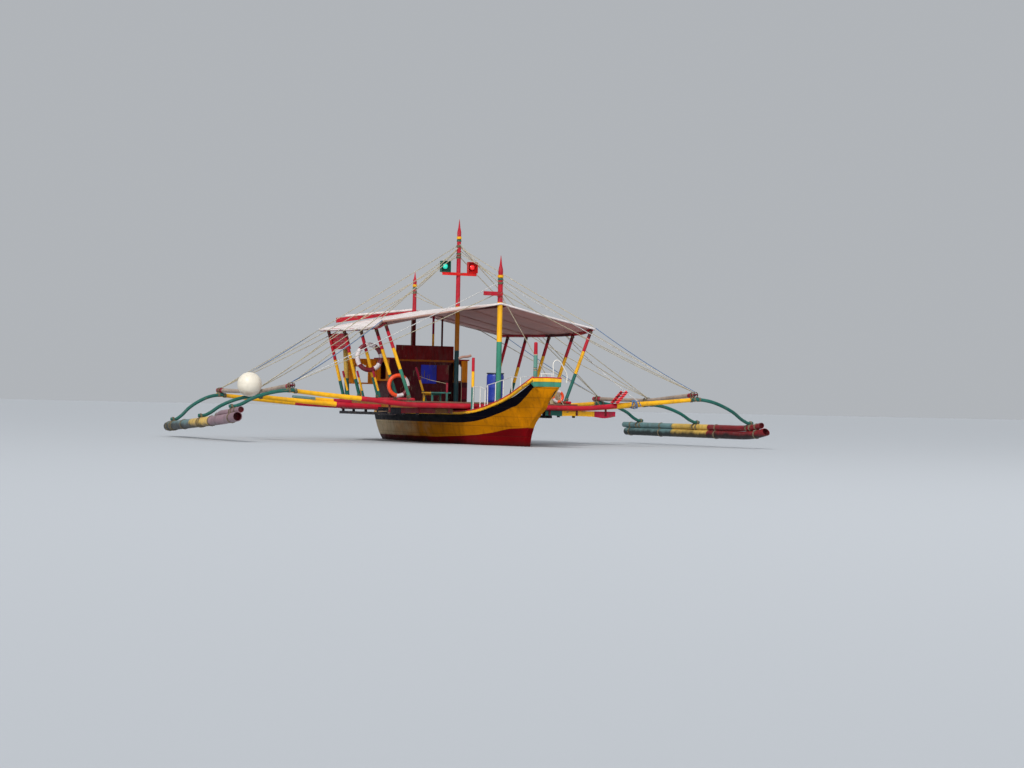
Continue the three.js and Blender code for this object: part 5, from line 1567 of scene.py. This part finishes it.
# Life rings.
# Two foam rings with painted bands, one lashed to a post and one standing on the deck rail.
f = Finish("ring_vinyl")
base = f.paint()
grime = f.ramp(f.spots(9.0, 6, 0.7), (0.45, 0.0), (0.75, 0.45))
ring_vinyl = f.wear(Base_Color=f.mix(grime, base, linear(110, 96, 84)),
                    Roughness=f.ramp(grime, (0.0, 0.35), (0.45, 0.6)),
                    Normal=f.bump(f.spots(26.0, 4), 0.0015, 0.4))
RING_ORANGE, RING_WHITE, WINE_BAND = linear(246, 74, 18), linear(222, 212, 214), linear(112, 14, 36)


def life_ring(name, node, centre, big, small, spans, slot):
    """A ring round an axis along the boat, painted in spans of (start in degrees, colour)."""
    shape, rings, paints, steps = Shape(), [], [], 96
    for k in range(steps + 1):
        a = 2 * pi * k / steps
        paints.append([c for start, c in spans if start <= 360 * (k + 0.5) / steps % 360][-1])
        r = small * (1.0 if paints[-1] == WINE_BAND else 0.965)
        out = Vector((0, cos(a), sin(a)))
        ring = [(big + r * cos(b), r * sin(b)) for b in turns(20)]
        rings.append([centre + out * reach + Vector((x, 0, 0)) for reach, x in ring])
    shape.rings(rings, paints[:-1], (False, False))
    return shape.piece(name, ring_vinyl, slot=slot, replaces=node, smooth=60, merge=0.0005)


bands = [(0, RING_WHITE), (20, WINE_BAND), (62, RING_WHITE), (108, WINE_BAND), (142, RING_WHITE),
         (212, WINE_BAND), (296, RING_WHITE), (330, WINE_BAND)]
spot = Vector((-0.075 + POST_R + 0.0576, leaning(-0.075, 2.11), 2.11))
life_ring("white_ring", "life_ring_white", spot, 0.315, 0.06, bands, "ring_white")
bands = [(0, RING_WHITE), (48, RING_ORANGE), (258, RING_WHITE), (300, WINE_BAND)]
spot = Vector((1.189 + POST_R + 0.052, -2.11, RAIL_AXIS + RAIL_R + 0.3003))
life_ring("orange_ring", "life_ring_orange", spot, 0.25, 0.05, bands, "ring_orange")
# A smaller ring and a pale board lean on the port post's foot
bands = [(0, RING_ORANGE), (60, RING_WHITE), (120, RING_ORANGE), (200, RING_WHITE), (260, RING_ORANGE)]
life_ring("port_ring", None, Vector((1.98, 1.93, DECK_Z + 0.18)), 0.13, 0.038, bands, "ring_orange")
port_board = Shape()
port_board.box((1.86, 1.76, ON_DECK), (1.885, 2.05, 1.34), CREAM, "Z")
port_board.piece("port_board", board_paint, slot="yellow_paint", bevel=0.004)


# Ball fender.
# A big white inflated ball lashed outboard of the starboard long rail, stained underneath.
f = Finish("ball_skin")
low = f.ramp(f.calc("SUBTRACT", 1.7, f.axis(2)), (0.46, 0.0), (0.62, 0.6))
low = f.calc("MULTIPLY", low, f.ramp(f.noise(f.place(2, 2, 6), 2.0, 5), (0.4, 0.0), (0.6, 1.0)))
tone = f.mix(low, linear(232, 224, 208), linear(150, 96, 44))
tone = f.mix(f.ramp(f.spots(6.0, 6, 0.7), (0.5, 0.0), (0.8, 0.3)), tone, linear(150, 140, 128))
ball_skin = f.wear(Base_Color=tone, Roughness=0.4, Normal=f.bump(f.spots(40.0, 3), 0.0008, 0.4))
BALL, BALL_R = Vector((0.6, -5.731, 1.357)), 0.3
ball = Shape()
rows = []
for k in range(1, 40):
    a = pi * k / 40
    groove = 0.0035 * exp(-((a - pi / 2) / 0.02) ** 2)
    rows.append(((BALL_R - 0.0015 - groove) * sin(a), BALL.z - (BALL_R - 0.0015) * cos(a)))
turned(ball, rows, BALL.x, BALL.y, (1, 1, 1), 56)
ball.piece("ball_buoy", ball_skin, slot="ring_white", replaces="ball_fender", smooth=60)


# Bow rails.
# White pipe stanchions stand in the gunwale caps and carry a thin line, and a hoop closes the bow.
f = Finish("white_pipe")
spots = f.spots(30.0, 6, 0.75)
tone = f.mix(f.ramp(spots, (0.6, 0.0), (0.66, 0.9)), linear(226, 222, 214), linear(128, 66, 34))
white_pipe = f.wear(Base_Color=tone, Roughness=0.35, Normal=f.bump(spots, 0.0008, 0.5))

stanchion_tree = Tree("stanchions", Radius="Float", Foot="Float", Material="Material")
t = stanchion_tree
tall = t.field("tall")
rod = t.node("MeshCylinder", Vertices=12, Radius=t.given["Radius"], Depth=1.0)
rod = t.node("Transform", Geometry=rod, Translation=(0.0, 0.0, 0.5))
flange = t.node("MeshCylinder", Vertices=16, Radius=t.given["Foot"], Depth=0.006)
flange = t.node("Transform", Geometry=flange, Translation=(0.0, 0.0, 0.003))
rods = t.node("InstanceOnPoints", Points=t.given["Start"], Instance=rod, Scale=t.vector(1.0, 1.0, tall))
feet = t.node("InstanceOnPoints", Points=t.given["Start"], Instance=flange)
both = t.tree.nodes.new("GeometryNodeJoinGeometry")
t.join(rods, both.inputs[0])
t.join(feet, both.inputs[0])
t.end(both.outputs[0])

# Each stanchion: its place along the boat and the height of its top
STANCHIONS = [(3.05, 1.415), (3.355, 1.413), (3.555, 1.356), (3.655, 1.462), (3.955, 1.52), (4.25, 1.587),
              (4.62, 1.664), (4.985, 1.646)]
bow_lines = []
for side, s in SIDES.items():
    feet = [(x, s * (rail_half(x) - 0.012), rail_height(x) + TOE_HEIGHT) for x, _ in STANCHIONS]
    heights = [top - foot[2] for foot, (_, top) in zip(feet, STANCHIONS)]
    grow(f"bow_stanchions_{side}", stanchion_tree, feet, slot="ring_white", fields={"tall": heights},
         Radius=0.011, Foot=0.024, Material=white_pipe)
    tops = [Vector((x, y, top - 0.004)) for (x, y, _), (_, top) in zip(feet, STANCHIONS)]
    bow_lines.append(([Vector((2.99, s * -gy, 1.4)), *tops, Vector((5.36, s * 0.375, 1.672))], 0.0, 1.0))
pipes = [([Vector((5.44, y, 1.735)) for y in (-0.184, 0.0, 0.153)], 0.0, 1.0)]
pipes += [([Vector((5.44, y, 1.66)), Vector((5.44, y, 1.735))], 0.0, 0.9) for y in (-0.15, 0.12)]
hoop = [(0.235, 1.648), (0.22, 1.8), (0.214, 1.98), (0.262, 2.055), (0.345, 2.062), (0.43, 1.985),
        (0.554, 1.782), (0.582, 1.68), (0.569, 1.541)]
hoop = curve_through([(5.3, y, z) for y, z in hoop], 6)
pipes.append((hoop, 0.0, 1.0))
runs("bow_pipes", pipes, 0.013, white_pipe, sides=12, step=0.03, slot="ring_white")


# Ladder.
# A short boarding ladder of red slats lies over the port front boom.
LADDER_RED = linear(224, 58, 66)
ladder = Shape()
for x in (2.74, 3.02):
    ladder.beam((x, 3.06, 1.085), (x, 3.34, 1.385), 0.03, 0.07, LADDER_RED, up=(0, -0.73, 0.68))
for k in range(6):
    share = 0.06 + k * 0.17
    y, z = 3.06 + 0.28 * share, 1.085 + 0.3 * share
    ladder.box((2.725, y - 0.052, z - 0.008), (3.035, y + 0.052, z + 0.01), WINE if k % 2 else LADDER_RED)
ladder.piece("boarding_ladder", board_paint, slot="red_board", replaces="ladder", bevel=0.003)


# Rigging.
# Thin ropes stay the masts to the boom tips and to each other, tied off with plain hitches.
def laid_rope(name, dark, light, twist):
    """Rope of three strands in two shades of its colour."""
    f = Finish(name)
    parts = [f.node("SeparateXYZ", out=i, Vector=f.grain(1, 1, 1)) for i in range(3)]
    strands = f.calc("MULTIPLY", f.calc("ARCTAN2", parts[1], parts[0]), 3.0)
    lay = f.calc("SINE", f.calc("ADD", strands, f.calc("MULTIPLY", parts[2], twist)))
    hair = f.calc("ADD", f.calc("MULTIPLY", lay, 0.22), f.spots(40.0, 4))
    return f.wear(Base_Color=f.ramp(hair, (0.2, dark), (0.72, light)), Roughness=0.85,
                  Normal=f.bump(lay, 0.0015, 0.8))


tan_rope = laid_rope("tan_rope", linear(118, 106, 84), linear(206, 196, 170), 150.0)
twine = laid_rope("twine", linear(70, 62, 48), linear(146, 132, 104), 150.0)
white_rope = laid_rope("white_rope", linear(150, 148, 150), linear(228, 226, 222), 130.0)
blue_rope = laid_rope("blue_rope", linear(52, 80, 128), linear(110, 140, 176), 160.0)
ROPE_R = 0.01
MAST_HEADS = {"front": 3.98, "middle": 5.02, "rear": 3.94}


def tip(boom, side, lift=0.0):
    """Where a stay meets a boom tip."""
    x, z = BOOMS[boom][0], BOOMS[boom][3]
    return Vector((x, SIDES[side] * JOINT_Y, z + BOOM_TIP_R + 2 * LONG_R + lift))


def from_mast(mast, to, dz=0.0):
    """A rope's start on the skin of a mast, on the side of what it runs to."""
    start = Vector((MASTS[mast][0], 0, MAST_HEADS[mast] + dz))
    away = Vector(to) - start
    away.z = 0
    return start + away.normalized() * MASTS[mast][1] * 0.85


def rope(start, end, sag=0.04, thick=1.0):
    return [Vector(start), Vector(end)], sag, thick


def between(mast, other, dz, other_dz):
    heads = [Vector((MASTS[m][0], 0, MAST_HEADS[m])) for m in (mast, other)]
    return rope(from_mast(mast, heads[1], dz), from_mast(other, heads[0], other_dz), 0.03)


tan = [between("middle", "front", 0.05, 0.0), between("middle", "rear", -0.06, 0.05)]
tan.append(rope(from_mast("rear", (0, 0, 0), -0.1), (-1.2, 0.05, 3.49), 0.02, 0.8))
tan.append(rope(from_mast("front", (2.765, 2.4, 1), -0.35), (2.79, 1.7, 1.02), 0.02, 0.8))
white, blue = [], []
for side, s in SIDES.items():
    for mast, boom, dz in (("middle", "middle", -0.12), ("middle", "rear", -0.28), ("rear", "rear", 0.0),
                           ("front", "front", -0.25), ("middle", "front", -0.2)):
        tan.append(rope(from_mast(mast, tip(boom, side), dz), tip(boom, side)))
    for mast, boom, material in (("front", "front", white_rope), ("middle", "rear", tan_rope)):
        stay = rope(from_mast(mast, tip(boom, side)), tip(boom, side), 0.02)
        runs(f"{mast}_stay_{side}", [stay], ROPE_R, material, sides=6, step=0.12, slot="stay_rope",
             replaces=f"stay_{mast}_{side}")
    corner = under_roof(2.078, 0.0, 0.0)
    start = (corner.x + 0.02, s * (corner.y + 0.01), corner.z + 0.015)
    blue.append(rope(start, tip("front", side, 0.02), 0.06))
    hook = Vector((corner.x - 0.1, s * corner.y, corner.z + 0.06))
    tan.append(rope(from_mast("middle", hook, -0.05), hook, 0.03))
    back = under_roof(-3.05, 0.0, 0.0)
    blue.append(rope((back.x, s * (back.y + 0.01), back.z), tip("rear", side, 0.0), 0.05, 0.8))
    for x in (1.189, -0.075, -1.405):
        p = under_roof(x, 0.0, 0.0)
        tan.append(rope((p.x, s * (p.y + 0.01), p.z), tip("middle" if x < 1 else "front", side), 0.05, 0.8))
p = under_roof(0.6, 0.0, 0.0)
white.append(rope(p, (2.765, 3.8, boom_height("front", 3.8) + 0.06), 0.08, 1.2))
coil = []
for k in range(5):
    centre = Vector((2.765, 3.6 + 0.035 * k, boom_height("front", 3.65)))
    r = 0.085 + 0.012 * (k % 3)
    angles = [2 * pi * i / 14 for i in range(15)]
    loop = [centre + Vector((r * cos(a), 0.03 * sin(a + k), r * sin(a))) for a in angles]
    coil.append((loop, 0.0, 1.0))
for dy, drop in ((-0.1, 0.06), (0.16, 0.1)):
    start = Vector((2.84, 3.66, boom_height("front", 3.65) + 0.06))
    tail = [start, start + Vector((0.02, dy * 0.6, 0.03)), start + Vector((0.03, dy, -drop))]
    coil.append((tail, 0.0, 1.0))
runs("blue_coil", coil, 0.011, blue_rope, sides=6, step=0.03, slot="stay_rope")
for name, lines, material in (("tan_ropes", tan, tan_rope), ("white_ropes", white, white_rope),
                              ("blue_ropes", blue, blue_rope), ("bow_lines", bow_lines, white_rope)):
    runs(name, lines, ROPE_R, material, sides=6, step=0.05 if lines is bow_lines else 0.12, slot="stay_rope")


# Lashings.
# Twine is wound round and round each crossing of poles, and drawn tight.
lashing_tree = Tree("lashings", Turns="Float", Twine="Float", Material="Material")
t = lashing_tree
coil = t.node("CurveSpiral", Resolution=14, Rotations=t.given["Turns"], Start_Radius=1.0, End_Radius=1.0,
              Height=1.0)
coil = t.node("Transform", Geometry=coil, Translation=(0.0, 0.0, -0.5))
coil, reach = t.keep(coil, t.node("SplineParameter", out="Length"))
strand = t.node("CurvePrimitiveCircle", Resolution=5, Radius=t.given["Twine"])
coil = t.node("CurveToMesh", Curve=coil, Profile_Curve=strand, Fill_Caps=True)
aim = t.node("FunctionNodeAlignRotationToVector", axis="Z", Vector=t.field("axis", "FLOAT_VECTOR"))
bound = t.node("InstanceOnPoints", Points=t.given["Start"], Instance=coil, Rotation=aim,
               Scale=t.field("size", "FLOAT_VECTOR"))
bound = t.node("RealizeInstances", Geometry=bound)
t.end(t.store(bound, "grain", t.vector(0.0, 1.0, reach), "FLOAT_VECTOR"))

spots, axes, sizes = [], [], []


def lash(at, axis, radius, width):
    """Notes one lashing: its middle, the way its pole runs, its radius and its width."""
    spots.append(tuple(at))
    axes.append(tuple(axis))
    sizes.append((radius, radius, width))


for side, s in SIDES.items():
    along = (1, s * 0.0568, 0 if s > 0 else 0.043)
    for boom, (x, _, _, z) in BOOMS.items():
        ax, foot_y, foot_z = arm_foot[boom, side]
        for dy, grip, width in ((-0.1, 0.007, 0.07), (0.085, 0.006, 0.05)):
            y = JOINT_Y + dy
            lash((x, s * y, boom_height(boom, y)), (0, 1, 0), BOOM_TIP_R + grip, width)
        for dy, dz in ((-0.06, -0.002), (0.09, 0.004)):
            lash((ax, s * (JOINT_Y + dy), z + dz), (0, 1, 0), ARM_R + 0.006, 0.05)
        for dx in (-0.1, 0.03):
            lash((x + dx, s * JOINT_Y, lie(z)), (1, 0, 0), LONG_R + 0.007, 0.05)
        low = s < 0 and ax < 2.5
        for dx in (-0.085, 0.085):
            at = (s * float_y(ax + dx), float_z(ax + dx, s)) if low else upper_centre(ax + dx, s)
            lash((ax + dx, *at), along, (LOWER_R[s] if low else UPPER_R) + 0.007, 0.06)
        lash((ax, foot_y + s * 0.03, foot_z + UPPER_R + ARM_R), (0, 1, 0), ARM_R + 0.007, 0.05)
    for x in (-3.1, -1.5, 1.3, 3.2):
        lash((x, *upper_centre(x, s)), along, UPPER_R + 0.006, 0.05)
        lash((x, s * float_y(x), float_z(x, s)), along, LOWER_R[s] + 0.006, 0.05)
    for x in POSTS:
        top = eave_pole(x)
        foot = Vector((x, s * RAIL_Y, RAIL_AXIS))
        head = Vector((x, s * top.y, top.z))
        up = (head - foot).normalized()
        lash(head - up * 0.07, up, POST_R + 0.004, 0.03)
        lash(foot + up * 0.085, up, POST_R + 0.006, 0.05)
        for dx in (-0.065, 0.065):
            lash((x + dx, foot.y, foot.z), (1, 0, 0), RAIL_R + 0.006, 0.04)
for mast, z in (("front", 3.98), ("middle", 5.02), ("rear", 3.94), ("front", 3.72), ("middle", 4.82),
                ("middle", 4.74)):
    x, r, *_ = MASTS[mast]
    lash((x, 0, z), (0, 0, 1), r * 0.9 + 0.006, 0.06)
grow("lashings", lashing_tree, spots, fields={"axis": axes, "size": sizes}, slot="stay_rope",
     Turns=6.0, Twine=0.085, Material=twine)
